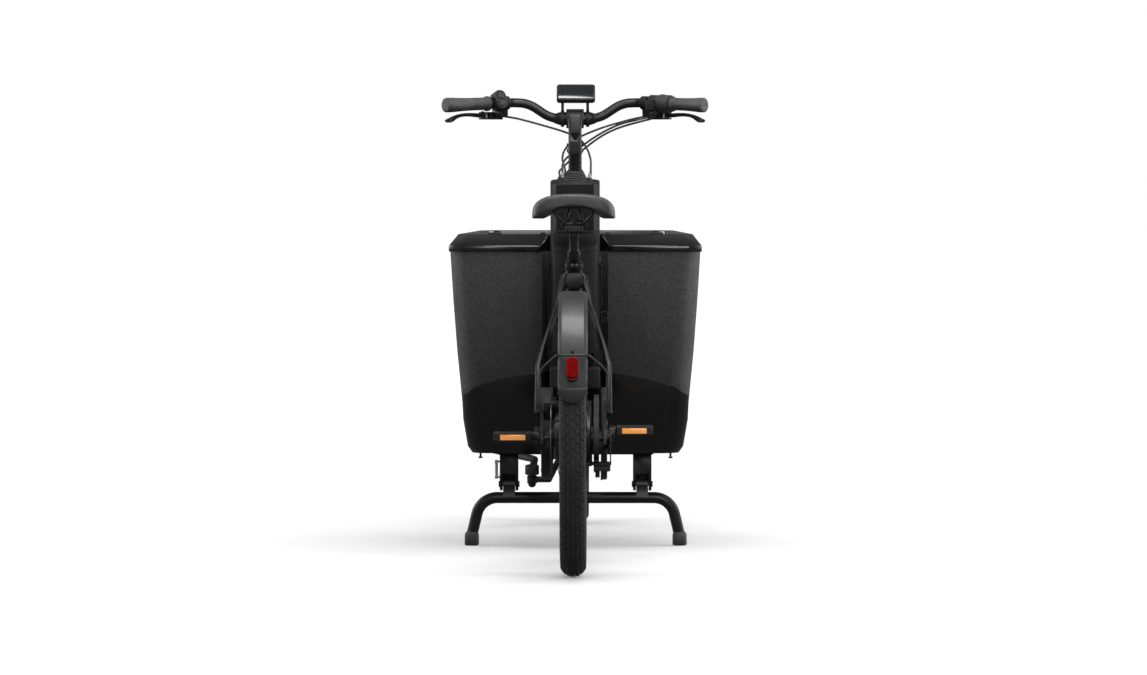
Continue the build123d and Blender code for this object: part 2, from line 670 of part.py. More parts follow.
def column_cap(cables):
    """Disc that turns with the column over the housing, with two cable glands and a cone boot."""
    disc = extrude(column_plane(CAP_LOW + 6) * (Circle(42.5) - Circle(COLUMN_R)), 12)
    cone = Solid.make_cone(30, 18, 26, plane=column_plane(CAP_LOW + 6).offset(12))
    cone -= axis_tube(800, 1000, COLUMN_R, 0, column_y)
    glands = [extrude(column_plane(CAP_LOW + 6, x).offset(12) * SlotOverall(width, 11), 9)
              for x, width in ((LEFT_GLAND_X, 24), (RIGHT_GLAND_X, 11))]
    return [(disc + cone + glands[0] + glands[1]).cut(*cables)]


def stem():
    """Stem: tapered neck on the column with a clamp round the handlebar."""
    neck = loft([column_plane(960, 0, 0) * RectangleRounded(36, 38, 9),
                 column_plane(1006, 0, 3) * RectangleRounded(31, 40, 8),
                 column_plane(1052, 0, 14) * RectangleRounded(40, 44, 9)], ruled=False)
    clamp = bar((-21, BAR_Y, BAR_Z), (21, BAR_Y, BAR_Z), 23)
    body = neck + clamp
    body -= bar((-60, BAR_Y, BAR_Z), (60, BAR_Y, BAR_Z), 15.9)
    body -= axis_tube(900, 1016, COLUMN_R, 0, column_y)
    slot_y = column_y(1000) - 26
    body -= block(-11.8, 11.8, slot_y - 6, slot_y + 12, 987, 1006)
    front = block(-20, 20, BAR_Y + 19.5, BAR_Y + 26, BAR_Z - 16, BAR_Z + 16, 2)
    return [body + front]


def grip_dir():
    a = radians(BAR_SWEEP)
    return Vector(cos(a), -sin(a), -0.035)


def across_grip():
    """Level direction across the right-hand grip, forwards."""
    a = radians(BAR_SWEEP)
    return Vector(sin(a), cos(a), 0)


SWEEP_START = Vector(150.0, 842.0, GRIP_Z)


def on_grip(along):
    """Point on the right-hand grip line, so many mm outboard of the sweep's start."""
    return SWEEP_START + grip_dir() * along


BAR_END = 186.0
GRIP_FROM_LEFT, GRIP_FROM_RIGHT = 66.0, 95.0
TWIST_FROM = 62.0


def handlebar():
    end = on_grip(BAR_END)
    right = [(57, BAR_Y, BAR_Z), (113, 844, GRIP_Z - 1), tuple(SWEEP_START), tuple(end)]
    left = [(-x, y, z) for x, y, z in reversed(right)]
    tube = bent([*left, *right], 11.1, [30, 74, 74, 74, 74, 30])
    core = turned([(-50, 0), (-50, 11.1), (-36, 15.9), (36, 15.9), (50, 11.1), (50, 0)],
                  (0, BAR_Y, BAR_Z))
    return [tube + core]


def grip(start):
    """Rubber grip closed by a flared end cap."""
    a, b = on_grip(start), on_grip(BAR_END + 3)
    body = bar(a, b, 16.0) + bar(on_grip(BAR_END - 20), on_grip(BAR_END + 5), 18.0)
    return body - bar(a, on_grip(BAR_END), 11.1)


def grips():
    return [mirrored(grip(GRIP_FROM_LEFT)), grip(GRIP_FROM_RIGHT)]


def twist_grip():
    a, b = on_grip(TWIST_FROM), on_grip(GRIP_FROM_RIGHT - GAP)
    body = bar(a, b, 21, 11.1 + RUN)
    rib = bar(on_grip(TWIST_FROM + 6), on_grip(TWIST_FROM + 12), 22.5, 15)
    return [body + rib]


def shifter_housing():
    """Fixed half of the twist shifter, with its window wedge."""
    a, b = on_grip(38), on_grip(TWIST_FROM - GAP)
    body = bar(a, b, 20)
    mid = on_grip(49.5) - across_grip() * 10
    body += Pos(mid.X, mid.Y, mid.Z - 4) * Rot(0, 0, -BAR_SWEEP) * Box(23, 34, 24)
    return [body - bar(on_grip(0), on_grip(90), 11.1)]


LEVER_AT = 58.0
LEVER_PIVOT = (42.0, -29.0)      # forward of the bar, below the bar
LEVER_PIVOT_R = 3.0


def lever_plane(z_dir):
    """Plane through the right-hand lever's hinge; its x runs out level along the grip."""
    a = radians(BAR_SWEEP)
    pivot = on_grip(LEVER_AT) + across_grip() * LEVER_PIVOT[0] + Vector(0, 0, LEVER_PIVOT[1])
    return Plane(origin=pivot, x_dir=(cos(a), -sin(a), 0), z_dir=z_dir)


def lever_clamp():
    """Right-hand master cylinder: bar clamp, arm to the lever's pivot and reservoir body."""
    level = lever_plane((0, 0, 1))
    pivot = level.origin
    root = Plane(origin=on_grip(22) + Vector(0, 0, -21), x_dir=level.x_dir, z_dir=(0, 0, 1))
    reach = LEVER_PIVOT[0]
    arm = extrude(root * (Pos(0, reach / 2) * RectangleRounded(24, reach, 6)), 11, both=True)
    body = extrude(level * (Pos(-28, 0) * RectangleRounded(52, 22, 8)), 9, both=True)
    ears = extrude(level * RectangleRounded(18, 18, 7), 9, both=True)
    solid = bar(on_grip(14), on_grip(30), 16.5) + arm + body + ears
    solid -= extrude(level * (Pos(7, 0) * Rectangle(36, 40)), 5.0 + GAP, both=True)
    solid -= bar(on_grip(0), on_grip(90), 11.1)
    pin = bar(pivot + Vector(0, 0, -9), pivot + Vector(0, 0, 9), LEVER_PIVOT_R)
    return [solid - pin, pin]


def brake_lever():
    """Right-hand two-finger lever: one outline from above, and one from behind that dips."""
    level = lever_plane((0, 0, 1))
    upright = lever_plane(across_grip() * -1)
    above = Spline((-2, 6.5), (14, 8), (40, 3), (70, 5), (92, 13), (99, 12), (98, 6), (72, -4),
                   (38, -7), (12, -6.5), (-2, -6.5))
    behind = Spline((-8, 4.6), (30, 6.4), (56, 5.4), (78, -0.5), (94, -8.5), (99, -12.0), (96, -15.5),
                    (76, -8.5), (56, -2.6), (30, -2.6), (-8, -4.6))
    plan = make_face([above, Line((-2, -6.5), (-2, 6.5))])
    profile = make_face([behind, Line((-8, -4.6), (-8, 4.6))])
    blade = extrude(level * plan, 30, both=True) & extrude(upright * profile, 30, both=True)
    blade += extrude(level * Circle(7), 5.0, both=True)
    hinge = level.origin
    return [blade - bar(hinge - Vector(0, 0, 20), hinge + Vector(0, 0, 20), LEVER_PIVOT_R + RUN)]


def display():
    """Flat display tilted towards the rider on two legs that clamp round the bar."""
    lean = radians(42)
    centre = Vector(2, 826, 1096)
    plane = Plane(origin=centre, x_dir=(1, 0, 0), z_dir=(0, -cos(lean), sin(lean)))
    case = extrude(plane * RectangleRounded(92, 49, 8), 13)
    legs = []
    for side in (-1, 1):
        ring = bar((side * 26, BAR_Y, BAR_Z), (side * 34, BAR_Y, BAR_Z), 20, 15.9)
        leg = bar((side * 30, BAR_Y, BAR_Z + 17), (side * 30, centre.Y + 6, centre.Z - 4), 3.4)
        legs.append(ring + (leg - case))
    return [case, *legs]


REMOTE_AT = 46.0


def remote_parts():
    """Thumb remote on the left of the bar: pod, clamp ring and two keys in wells."""
    p = on_grip(REMOTE_AT)
    a = radians(BAR_SWEEP)
    towards = Vector(-sin(a), -cos(a), 0)
    face_dir = (Vector(0, 0, 1) * 0.35 + towards * 0.94).normalized()
    along = Vector(cos(a), -sin(a), 0)
    plane = Plane(origin=p + towards * 12 + Vector(0, 0, 6), x_dir=along, z_dir=face_dir)
    pod = extrude(plane * RectangleRounded(30, 46, 13), 12, both=True)
    pod += bar(on_grip(REMOTE_AT - 8), on_grip(REMOTE_AT + 8), 16)
    pod -= bar(on_grip(0), on_grip(90), 11.1)
    keys = []
    for offset_z in (9.5, -9.5):
        key_plane = Plane(origin=plane.origin + plane.y_dir * offset_z, x_dir=along,
                          z_dir=face_dir).offset(8)
        pod -= extrude(key_plane * RectangleRounded(16.8, 12.8, 4.4), 10)
        keys.append(extrude(key_plane.offset(1.4) * RectangleRounded(16, 12, 4), 4.2))
    return mirrored(pod), [mirrored(k) for k in keys]


HOSE_R = 2.5


def hoses():
    """Brake hoses and shift cables from the bar, round the stem, into the column cap's glands."""
    level = lever_plane((0, 0, 1))
    master = level.origin - level.x_dir * 50
    shifter = on_grip(50) + Vector(0, 0, -19)
    left_gland = column_point(CAP_LOW + 6, LEFT_GLAND_X) + AXIS * 15
    right_gland = column_point(CAP_LOW + 6, RIGHT_GLAND_X + 2.5) + AXIS * 15
    brake_foot = left_gland + Vector(6.5, -3, 0)
    shift_foot = left_gland + Vector(0, 1.5, 0)
    outer_foot = left_gland + Vector(-6.5, -3, 0)
    routes = [
        [(-master.X, master.Y, master.Z), (-140, 892, 1042), (-106, 890, 1033), (-70, 882, 1023),
         (-36, 874, 1013), (-8, 868, 1003), (16, 861, 989), (31, 853, 965), (38, 845, 942),
         right_gland + AXIS * 26, right_gland],
        [master, (140, 890, 1041), (106, 887, 1032), (72, 883, 1022), (42, 880, 1011), (14, 879, 999),
         (-10, 876, 984), (-27, 863, 965), (-32, 845, 944), brake_foot + AXIS * 27, brake_foot],
        [shifter + Vector(-3, 4, 0), shifter + Vector(-12, 12, -13), (142, 878, 1037),
         (106, 879, 1028), (72, 877, 1012), (42, 874, 994), (16, 872, 975), (-6, 867, 959),
         (-23, 856, 945), (-31, 843, 931), shift_foot + AXIS * 18, shift_foot],
        [shifter + Vector(4, -4, 0), shifter + Vector(-6, 3, -17), (140, 867, 1030),
         (106, 871, 1020), (72, 870, 1005), (42, 868, 985), (16, 866, 964), (-8, 861, 945),
         (-28, 849, 926), (-39, 839, 914), outer_foot + AXIS * 11, outer_foot]]
    return [flowing(route, HOSE_R) for route in routes]


def pitman():
    """Steering lever: hub on the column's foot, cranked arm to the left and upright ball stud."""
    hub = axis_tube(236, 286, 24, COLUMN_R, column_y)
    ball = Vector(-ARM, COLUMN_Y, COLUMN_Z)
    low = ball - AXIS * 22
    elbow = column_point(COLUMN_Z, -64) - AXIS * 22
    root = column_point(258, -20)
    arm = bar(root, elbow, 7.5) + bar(elbow, low, 7.5) + Pos(*elbow) * Sphere(7.5)
    arm -= axis_tube(150, 300, COLUMN_R, 0, column_y)
    boss = bar(low - AXIS * 9, low + AXIS * 8, 12)
    stud = bar(low - AXIS * 19, ball, 5)
    nut = bar(low - AXIS * 16, low - AXIS * 9, 9)
    knuckle = Pos(*ball) * Sphere(9)
    return [hub + arm + boss + stud + nut + knuckle]


def drag_link():
    """Bowed steering rod from the column's lever to the fork, with a socket at each end."""
    rear = Vector(-ARM, COLUMN_Y, COLUMN_Z)
    front = Vector(-ARM, fork_y(LINK_FRONT_Z), LINK_FRONT_Z)
    rod = bent([tuple(rear + Vector(0, 16, 0)), (-ARM, 1545, 190), (-221, 1745, 206),
                (-221, 1868, 282), tuple(front + Vector(-8, -16, -4))], 9, 70)
    ends = []
    for ball in (rear, front):
        ends.append(bar(ball - AXIS * 8, ball + AXIS * 12, 17))
    neck = bar(rear, rear + Vector(0, 40, 0), 11) + bar(front, front + Vector(-24, -36, -9), 11)
    link = rod + ends[0] + ends[1] + neck
    for ball in (rear, front):
        link -= Pos(*ball) * Sphere(9 + GAP)
        link -= bar(ball - AXIS * 30, ball, 8.2)
    return [link]


# ---------------------------------------------------------------- fork
FORK_LEG_X = 62.0


def fork():
    """Rigid fork: steerer, crown, legs with dropouts, and the arm that carries the ball stud."""
    steerer = axis_tube(575, 706, 14.3, 0, fork_y)
    crown_c = Vector(0, fork_y(570), 570)
    crown = Plane(origin=crown_c, x_dir=(1, 0, 0), z_dir=AXIS)
    body = extrude(crown * RectangleRounded(2 * FORK_LEG_X + 34, 44, 20), 12, both=True)
    for side in (-1, 1):
        body += bar((side * FORK_LEG_X, fork_y(300), 300), (side * FORK_LEG_X, fork_y(572), 572), 16)
        ear = plate([(WHEELBASE - 18, 246), (WHEELBASE + 18, 246), (fork_y(310) + 14, 310),
                     (fork_y(310) - 14, 310)], 50, 59)
        body += ear if side > 0 else mirrored(ear)
    ball = Vector(-ARM, fork_y(LINK_FRONT_Z), LINK_FRONT_Z)
    low = ball - AXIS * 20
    leg = Vector(-FORK_LEG_X, low.Y, low.Z)
    body += bar(leg, low, 7) + bar(low - AXIS * 9, low + AXIS * 8.5, 11)
    body += bar(low, ball, 5) + Pos(*ball) * Sphere(9)
    body += steerer
    body -= bar((-70, WHEELBASE, FRONT_R), (70, WHEELBASE, FRONT_R), AXLE_R)
    axle = bar((-64, WHEELBASE, FRONT_R), (64, WHEELBASE, FRONT_R), AXLE_R)
    nuts = both(bar((59, WHEELBASE, FRONT_R), (65, WHEELBASE, FRONT_R), 10, AXLE_R))
    return [body, axle, *nuts]


def front_caliper():
    x = FRONT_ROTOR_X
    y, z = WHEELBASE - 82, FRONT_R + 44
    body = block(x - 17, x + 9, y - 18, y + 24, z - 22, z + 22, 3)
    body -= block(x - 1.8, x + 1.8, y - 40, y + 60, z - 60, z + 17)
    body += bar((x - 13, y + 20, z + 12), (-56, fork_y(z + 24) - 8, z + 24), 5)
    body -= bar((-FORK_LEG_X, fork_y(300), 300), (-FORK_LEG_X, fork_y(572), 572), 16)
    return [body - bar((x - 1.8, WHEELBASE, FRONT_R), (x + 1.8, WHEELBASE, FRONT_R), 92)]


def front_fender(fork_body):
    guard = Pos(*FRONT_AXLE) * arc_channel(284, 33, 16, 38, 118)
    tab = block(-9, 9, fork_y(560) - 12, fork_y(560) + 12, FRONT_R + 281, 556)
    stay = bar((-58, fork_y(420) - 6, 420), (-35.2, WHEELBASE - 238, 395), 2.5)
    return [guard + (tab - fork_body), *both(stay - guard - fork_body)]


def headlight():
    y, z = fork_y(655), 655
    lamp = bar((0, y + 46, z), (0, y + 92, z - 4), 27)
    lens = bar((0, y + 92, z - 4), (0, y + 96, z - 4.4), 24)
    arm = block(-8, 8, y + 20, y + 50, z - 8, z + 8) - axis_tube(500, 800, 24, 0, fork_y)
    return [lamp + arm, lens]


# ---------------------------------------------------------------- stand
STAND_BAR_Z = 117.6
STAND_TUBE_R = 13.9


def stand_brackets():
    """Clevis brackets that hang under the box floor's cross plate."""
    made = []
    y, z = STAND_PIVOT_Y, STAND_PIVOT_Z
    for side in (-1, 1):
        x = side * STAND_X
        web = block(x - 22.5, x + 22.5, y - 24, y - 18, 176, 224)
        ears = [plate([(y + 22, 224), (y - 24, 224), (y - 24, z + 8), (y - 18.5, z), (y - 14, z - 11),
                       (y, z - 16), (y + 14, z - 11), (y + 22, z + 4)],
                      x + e * 19 - 3.5, x + e * 19 + 3.5) for e in (-1, 1)]
        top = block(x - 22.5, x + 22.5, y - 24, y + 22, 218, 224)
        body = web + ears[0] + ears[1] + top
        made.append(body - bar((x - 30, y, z), (x + 30, y, z), 5))
    return made


def stand_tube():
    """Bent two-legged stand with a lug under each bracket."""
    y = STAND_PIVOT_Y + 5
    toe = y + 12
    legs = bent([(-254, toe, 24), (-232, y, STAND_BAR_Z), (232, y, STAND_BAR_Z), (254, toe, 24)],
                STAND_TUBE_R, 52)
    for side in (-1, 1):
        x = side * STAND_X
        lug = plate([(STAND_PIVOT_Y - 12, STAND_PIVOT_Z - 4), (STAND_PIVOT_Y - 12, STAND_PIVOT_Z + 4),
                     (STAND_PIVOT_Y - 6, STAND_PIVOT_Z + 12), (STAND_PIVOT_Y + 6, STAND_PIVOT_Z + 12),
                     (STAND_PIVOT_Y + 14, STAND_PIVOT_Z), (y + 12, STAND_BAR_Z), (y - 12, STAND_BAR_Z)],
                    x - 14.5, x + 14.5)
        legs += lug
        legs -= bar((x - 30, STAND_PIVOT_Y, STAND_PIVOT_Z), (x + 30, STAND_PIVOT_Y, STAND_PIVOT_Z),
                    5 + RUN)
    return legs


def stand_feet(tube):
    y = STAND_PIVOT_Y + 5 + 13
    foot = block(254 - 17.5, 254 + 17.5, y - 20, y + 20, 0, 36)
    foot = fillet(foot.edges().filter_by(Axis.Z), 9)
    foot = fillet(foot.faces().sort_by(Axis.Z)[-1].edges(), 9)
    return [f - tube for f in both(foot)]


def stand_spring():
    """Pull spring beside the left bracket."""
    x = -STAND_X - 31
    pins = [bar((-STAND_X - 22.5, STAND_PIVOT_Y, z), (x - 4, STAND_PIVOT_Y, z), 2.5)
            for z in (206, 168)]
    coil = bar((x, STAND_PIVOT_Y, 206), (x, STAND_PIVOT_Y, 168), 4)
    return [coil + pins[0] + pins[1]]


def fixings():
    """Tray pegs, stand pivot bolts and the two tie rods beside the battery."""
    made = []
    for x, y in ((-231, 1048), (231, 1048), (-186, 1560), (186, 1560)):
        made.append(bar((x, y, 218), (x, y, BOX_BOTTOM), 2.5) + bar((x, y, 217), (x, y, 221), 5))
    for side in (-1, 1):
        x = side * STAND_X
        bolt = bar((x - 22.5, STAND_PIVOT_Y, STAND_PIVOT_Z), (x + 22.5, STAND_PIVOT_Y, STAND_PIVOT_Z),
                   5)
        for end in (-1, 1):
            bolt += bar((x + end * 22.5, STAND_PIVOT_Y, STAND_PIVOT_Z),
                        (x + end * 25.5, STAND_PIVOT_Y, STAND_PIVOT_Z), 7.5)
        made.append(bolt)
        rod_low, rod_top = column_point(452, side * 62, -40), column_point(694, side * 62, -40)
        rod = bar(rod_low, rod_top, 2.2) + bar(rod_top, rod_top + AXIS * 7, 5)
        rod += bar(rod_top - AXIS * 2, rod_top, 3.6)
        made.append(rod)
    return made


# ---------------------------------------------------------------- build and export
def wheel_at(centre, solid):
    """Wheel part moved from the origin to its axle."""
    return Pos(*centre) * solid


def build():
    tray, shell, bench = box_parts()
    frame = main_frame()
    stays = rear_stays()
    fork_parts = fork()
    cables = hoses()
    pod, keys = remote_parts()
    stand = stand_tube()
    nodes = {
        "main_frame": [frame],
        "rear_stays": stays,
        "headset_bearings": bearings(),
        "drive_unit": drive_unit(),
        "seat_clamp": seat_clamp(),
        "rear_fender": rear_fender(),
        "rear_light": rear_light(),
        "rear_caliper": rear_caliper(),
        "belt_guard": [s - stays[0] for s in belt_guard()],
        "drive_belt": [belt()],
        "column_housing": column_housing(),
        "box_shell": [shell, bench],
        "box_tray": [tray],
        "box_rim": [box_rim()],
        "bench_cushion": bench_cushion(),
        "stand_brackets": stand_brackets(),
        "stand_spring": stand_spring(),
        "fixings": fixings(),
        "headlight": headlight(),
        "battery_pack": battery(),
        "seat_post": seat_post(),
        "saddle_rails": saddle_rails(),
        "saddle": [saddle()],
        "steering_column": steering_column(),
        "column_cap": column_cap(cables),
        "stem": stem(),
        "handlebar": handlebar(),
        "grips": grips(),
        "lever_clamps": [s.cut(*cables) for part in lever_clamp() for s in both(part)],
        "shifter_housing": [s.cut(*cables) for s in shifter_housing()],
        "display": display(),
        "remote": [pod],
        "remote_key_up": [keys[0]],
        "remote_key_down": [keys[1]],
        "hoses": cables,
        "pitman_arm": pitman(),
        "left_brake_lever": [mirrored(s) for s in brake_lever()],
        "right_brake_lever": brake_lever(),
        "twist_grip": twist_grip(),
        "drag_link": drag_link(),
        "fork": fork_parts,
        "front_caliper": front_caliper(),
        "front_fender": front_fender(fork_parts[0]),
        "front_tyre": [wheel_at(FRONT_AXLE, tyre(FRONT_R))],
        "front_rim": [wheel_at(FRONT_AXLE, rim(FRONT_R))],
        "front_spokes": [wheel_at(FRONT_AXLE, s) for s in
                         spokes(FRONT_R, 32, FRONT_FLANGE_R, FRONT_FLANGE_X)],
        "front_hub": [wheel_at(FRONT_AXLE, front_hub())],
        "front_rotor": [wheel_at(FRONT_AXLE, rotor(180, FRONT_ROTOR_X))],
        "rear_tyre": [wheel_at(REAR_AXLE, tyre(REAR_R))],
        "rear_rim": [wheel_at(REAR_AXLE, rim(REAR_R))],
        "rear_spokes": [wheel_at(REAR_AXLE, s) for s in
                        spokes(REAR_R, 36, REAR_FLANGE_R, REAR_FLANGE_X)],
        "rear_hub": [wheel_at(REAR_AXLE, rear_hub())],
        "rear_rotor": [wheel_at(REAR_AXLE, rotor(160, REAR_ROTOR_X))],
        "rear_sprocket": [wheel_at(REAR_AXLE, gear(SPROCKET_TEETH, BELT_X, AXLE_R + RUN, False))],
        "cranks": cranks(),
        "belt_ring": [Pos(0, BB_Y, BB_Z) * gear(RING_TEETH, BELT_X, 12.0, True)],
        "left_pedal": pedal(-1, -1),
        "right_pedal": pedal(1, 1),
        "stand_tube": [stand],
        "stand_feet": stand_feet(stand),
    }
    os.makedirs("parts", exist_ok=True)
    for name, parts in nodes.items():
        export_step(group([Pos(0, -ORIGIN_Y, 0) * p for p in parts]), f"parts/{name}.step")


build()
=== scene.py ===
import json
import math

import bmesh
import bpy
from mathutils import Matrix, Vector

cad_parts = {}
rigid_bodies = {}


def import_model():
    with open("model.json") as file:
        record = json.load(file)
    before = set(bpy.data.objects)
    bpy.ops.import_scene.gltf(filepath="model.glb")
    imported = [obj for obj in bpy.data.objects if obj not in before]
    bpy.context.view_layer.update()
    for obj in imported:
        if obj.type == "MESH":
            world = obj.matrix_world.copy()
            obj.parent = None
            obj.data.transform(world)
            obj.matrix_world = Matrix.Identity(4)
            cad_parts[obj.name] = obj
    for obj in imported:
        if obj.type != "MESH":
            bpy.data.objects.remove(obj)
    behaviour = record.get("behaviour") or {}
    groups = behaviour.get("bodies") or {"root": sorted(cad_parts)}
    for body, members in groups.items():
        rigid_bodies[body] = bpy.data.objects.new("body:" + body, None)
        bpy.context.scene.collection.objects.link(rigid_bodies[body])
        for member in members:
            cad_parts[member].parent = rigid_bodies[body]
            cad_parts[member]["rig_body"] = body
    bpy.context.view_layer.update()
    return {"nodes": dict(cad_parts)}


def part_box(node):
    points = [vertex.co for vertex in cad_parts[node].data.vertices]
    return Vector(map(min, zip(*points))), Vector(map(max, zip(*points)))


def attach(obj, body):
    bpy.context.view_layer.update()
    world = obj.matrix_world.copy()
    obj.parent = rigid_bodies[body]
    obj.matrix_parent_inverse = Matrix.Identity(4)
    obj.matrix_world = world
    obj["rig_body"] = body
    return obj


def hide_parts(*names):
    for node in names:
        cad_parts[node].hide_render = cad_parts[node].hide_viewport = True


# Looks of the front-loading cargo bicycle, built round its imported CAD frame.
# Metres. +Y travel direction, +X rider's right, +Z up.

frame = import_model()
nodes = frame["nodes"]

# ---------------------------------------------------------------- values shared with the CAD
ORIGIN_Y = 0.990
TILT = math.radians(12.0)
AXIS = Vector((0, -math.sin(TILT), math.cos(TILT)))
FORWARD = Vector((0, math.cos(TILT), math.sin(TILT)))
REAR_R, FRONT_R = 0.313, 0.264
FRONT_Y = 2.050 - ORIGIN_Y
REAR_AXLE = Vector((0, -ORIGIN_Y, REAR_R))
FRONT_AXLE = Vector((0, FRONT_Y, FRONT_R))
CRANK_Y, CRANK_Z = 0.470 - ORIGIN_Y, 0.303
STAND_Y = 1.108 - ORIGIN_Y
CAP_Z = 0.880
MAST_FOOT_Y, MAST_FOOT_Z = 0.985 - ORIGIN_Y, 0.190
FENDER_R = 0.333
PAD_X, PAD_HALF_X = 0.116, 0.104
SEAT_TUBE_ANGLE = math.radians(69)
SADDLE_CLAMP_Z = 0.790
SADDLE_CLAMP_Y = CRANK_Y - (SADDLE_CLAMP_Z - CRANK_Z) / math.tan(SEAT_TUBE_ANGLE)
SWEEP = math.radians(33.0)
SWEEP_START = Vector((0.150, 0.842 - ORIGIN_Y, 1.079))
ALONG_GRIP = Vector((math.cos(SWEEP), -math.sin(SWEEP), -0.035)).normalized()
ACROSS_GRIP = Vector((math.sin(SWEEP), math.cos(SWEEP), 0))
X_WAY, Y_WAY = (1, 0, 0), (0, 1, 0)


def column_point(z, x=0.0, forward=0.0):
    """Point at height z on the steering mast's axis, moved sideways and forward of it."""
    y = MAST_FOOT_Y - (z - MAST_FOOT_Z) * math.tan(TILT)
    return Vector((x, y, z)) + FORWARD * forward


# ---------------------------------------------------------------- material helpers
def new_material(name):
    """Material with its nodes, its links and its surface shader."""
    mat = bpy.data.materials.new(name)
    mat.use_nodes = True
    return mat, mat.node_tree.nodes, mat.node_tree.links, mat.node_tree.nodes["Principled BSDF"]


def add(tree_nodes, kind, **inputs):
    """Shader node with some of its inputs set."""
    node = tree_nodes.new(kind)
    for key, value in inputs.items():
        node.inputs[key.replace("_", " ")].default_value = value
    return node


def ramp(tree_nodes, links, source, stops):
    """Colour ramp over source with (position, colour) stops."""
    node = tree_nodes.new("ShaderNodeValToRGB")
    elements = node.color_ramp.elements
    while len(elements) < len(stops):
        elements.new(0.5)
    for element, (position, colour) in zip(elements, stops):
        element.position = position
        element.color = (*colour, 1.0)
    links.new(source, node.inputs["Fac"])
    return node.outputs["Color"]


def spread(tree_nodes, links, source, low, high):
    """Source from 0 to 1, spread over low to high."""
    node = tree_nodes.new("ShaderNodeMapRange")
    node.inputs["To Min"].default_value = low
    node.inputs["To Max"].default_value = high
    links.new(source, node.inputs["Value"])
    return node.outputs["Result"]


def coords(tree_nodes, links, scale=(1, 1, 1)):
    """Object coordinates, scaled."""
    where = tree_nodes.new("ShaderNodeTexCoord").outputs["Object"]
    mapping = tree_nodes.new("ShaderNodeMapping")
    mapping.inputs["Scale"].default_value = scale
    links.new(where, mapping.inputs["Vector"])
    return mapping.outputs["Vector"]


def noise(tree_nodes, links, vector, scale, detail=4.0, rough=0.55):
    """Noise from 0 to 1."""
    node = add(tree_nodes, "ShaderNodeTexNoise", Scale=scale, Detail=detail, Roughness=rough)
    links.new(vector, node.inputs["Vector"])
    return node.outputs["Fac"]


def cells(tree_nodes, links, vector, scale, feature="F1", output="Distance"):
    """Cell pattern: distance to a cell's middle or edge, or a colour for each cell."""
    node = add(tree_nodes, "ShaderNodeTexVoronoi", Scale=scale)
    node.feature = feature
    links.new(vector, node.inputs["Vector"])
    return node.outputs[output]


def combine(tree_nodes, links, operation, a, b):
    """Result of a maths operation on two sockets or numbers."""
    node = tree_nodes.new("ShaderNodeMath")
    node.operation = operation
    for index, value in enumerate((a, b)):
        if isinstance(value, (int, float)):
            node.inputs[index].default_value = value
        else:
            links.new(value, node.inputs[index])
    return node.outputs[0]


def bump(tree_nodes, links, bsdf, height, distance, strength, after=None):
    """Fine relief on a shader, on top of an earlier relief if there is one."""
    node = tree_nodes.new("ShaderNodeBump")
    node.inputs["Strength"].default_value = strength
    node.inputs["Distance"].default_value = distance
    links.new(height, node.inputs["Height"])
    if after is not None:
        links.new(after, node.inputs["Normal"])
    links.new(node.outputs["Normal"], bsdf.inputs["Normal"])
    return node.outputs["Normal"]


def coated(name, dark, light, rough, metal=0.0, grain=1400.0, depth=0.00004, coat=0.0, blotch=14.0,
           mirror=0.5):
    """Painted, anodised or moulded surface: blotched colour, uneven gloss and a fine grain."""
    mat, n, l, bsdf = new_material(name)
    at = coords(n, l)
    patch = noise(n, l, at, blotch, 6.0, 0.62)
    fine = noise(n, l, at, grain, 3.0)
    l.new(ramp(n, l, patch, [(0.32, dark), (0.72, light)]), bsdf.inputs["Base Color"])
    shine = combine(n, l, "ADD", spread(n, l, patch, rough * 0.86, rough * 1.14),
                    spread(n, l, fine, -0.04, 0.04))
    l.new(shine, bsdf.inputs["Roughness"])
    bsdf.inputs["Metallic"].default_value = metal
    bsdf.inputs["Specular IOR Level"].default_value = mirror
    bsdf.inputs["Coat Weight"].default_value = coat
    bsdf.inputs["Coat Roughness"].default_value = 0.12
    bump(n, l, bsdf, fine, depth, 0.6)
    return mat


def tyre_rubber():
    """Matt black rubber with a little dust."""
    mat, n, l, bsdf = new_material("tyre_rubber")
    at = coords(n, l)
    dust = noise(n, l, at, 22.0, 8.0, 0.7)
    fine = noise(n, l, at, 2200.0, 3.0)
    l.new(ramp(n, l, dust, [(0.35, (0.016, 0.016, 0.017)), (0.62, (0.027, 0.027, 0.028)),
                            (0.85, (0.06, 0.058, 0.055))]), bsdf.inputs["Base Color"])
    l.new(spread(n, l, dust, 0.62, 0.92), bsdf.inputs["Roughness"])
    bsdf.inputs["Specular IOR Level"].default_value = 0.4
    bump(n, l, bsdf, fine, 0.00008, 0.7)
    return mat


def bead_foam():
    """Expanded bead foam: welded beads a few millimetres wide, mottled in tone."""
    mat, n, l, bsdf = new_material("bead_foam")
    at = coords(n, l)
    edge = cells(n, l, at, 300.0, "DISTANCE_TO_EDGE")
    bead = cells(n, l, at, 300.0, "F1", "Color")
    tone = n.new("ShaderNodeSeparateColor")
    l.new(bead, tone.inputs["Color"])
    patch = noise(n, l, at, 190.0, 3.0, 0.7)
    mixed = combine(n, l, "ADD", combine(n, l, "MULTIPLY", tone.outputs["Red"], 0.45),
                    combine(n, l, "MULTIPLY", patch, 0.55))
    colour = ramp(n, l, mixed, [(0.18, (0.023, 0.0232, 0.0238)), (0.5, (0.034, 0.0343, 0.0352)),
                                (0.86, (0.056, 0.0565, 0.058))])
    l.new(colour, bsdf.inputs["Base Color"])
    l.new(spread(n, l, tone.outputs["Green"], 0.56, 0.80), bsdf.inputs["Roughness"])
    groove = ramp(n, l, edge, [(0.0, (0, 0, 0)), (0.10, (1, 1, 1))])
    bump(n, l, bsdf, groove, 0.00035, 0.55)
    return mat


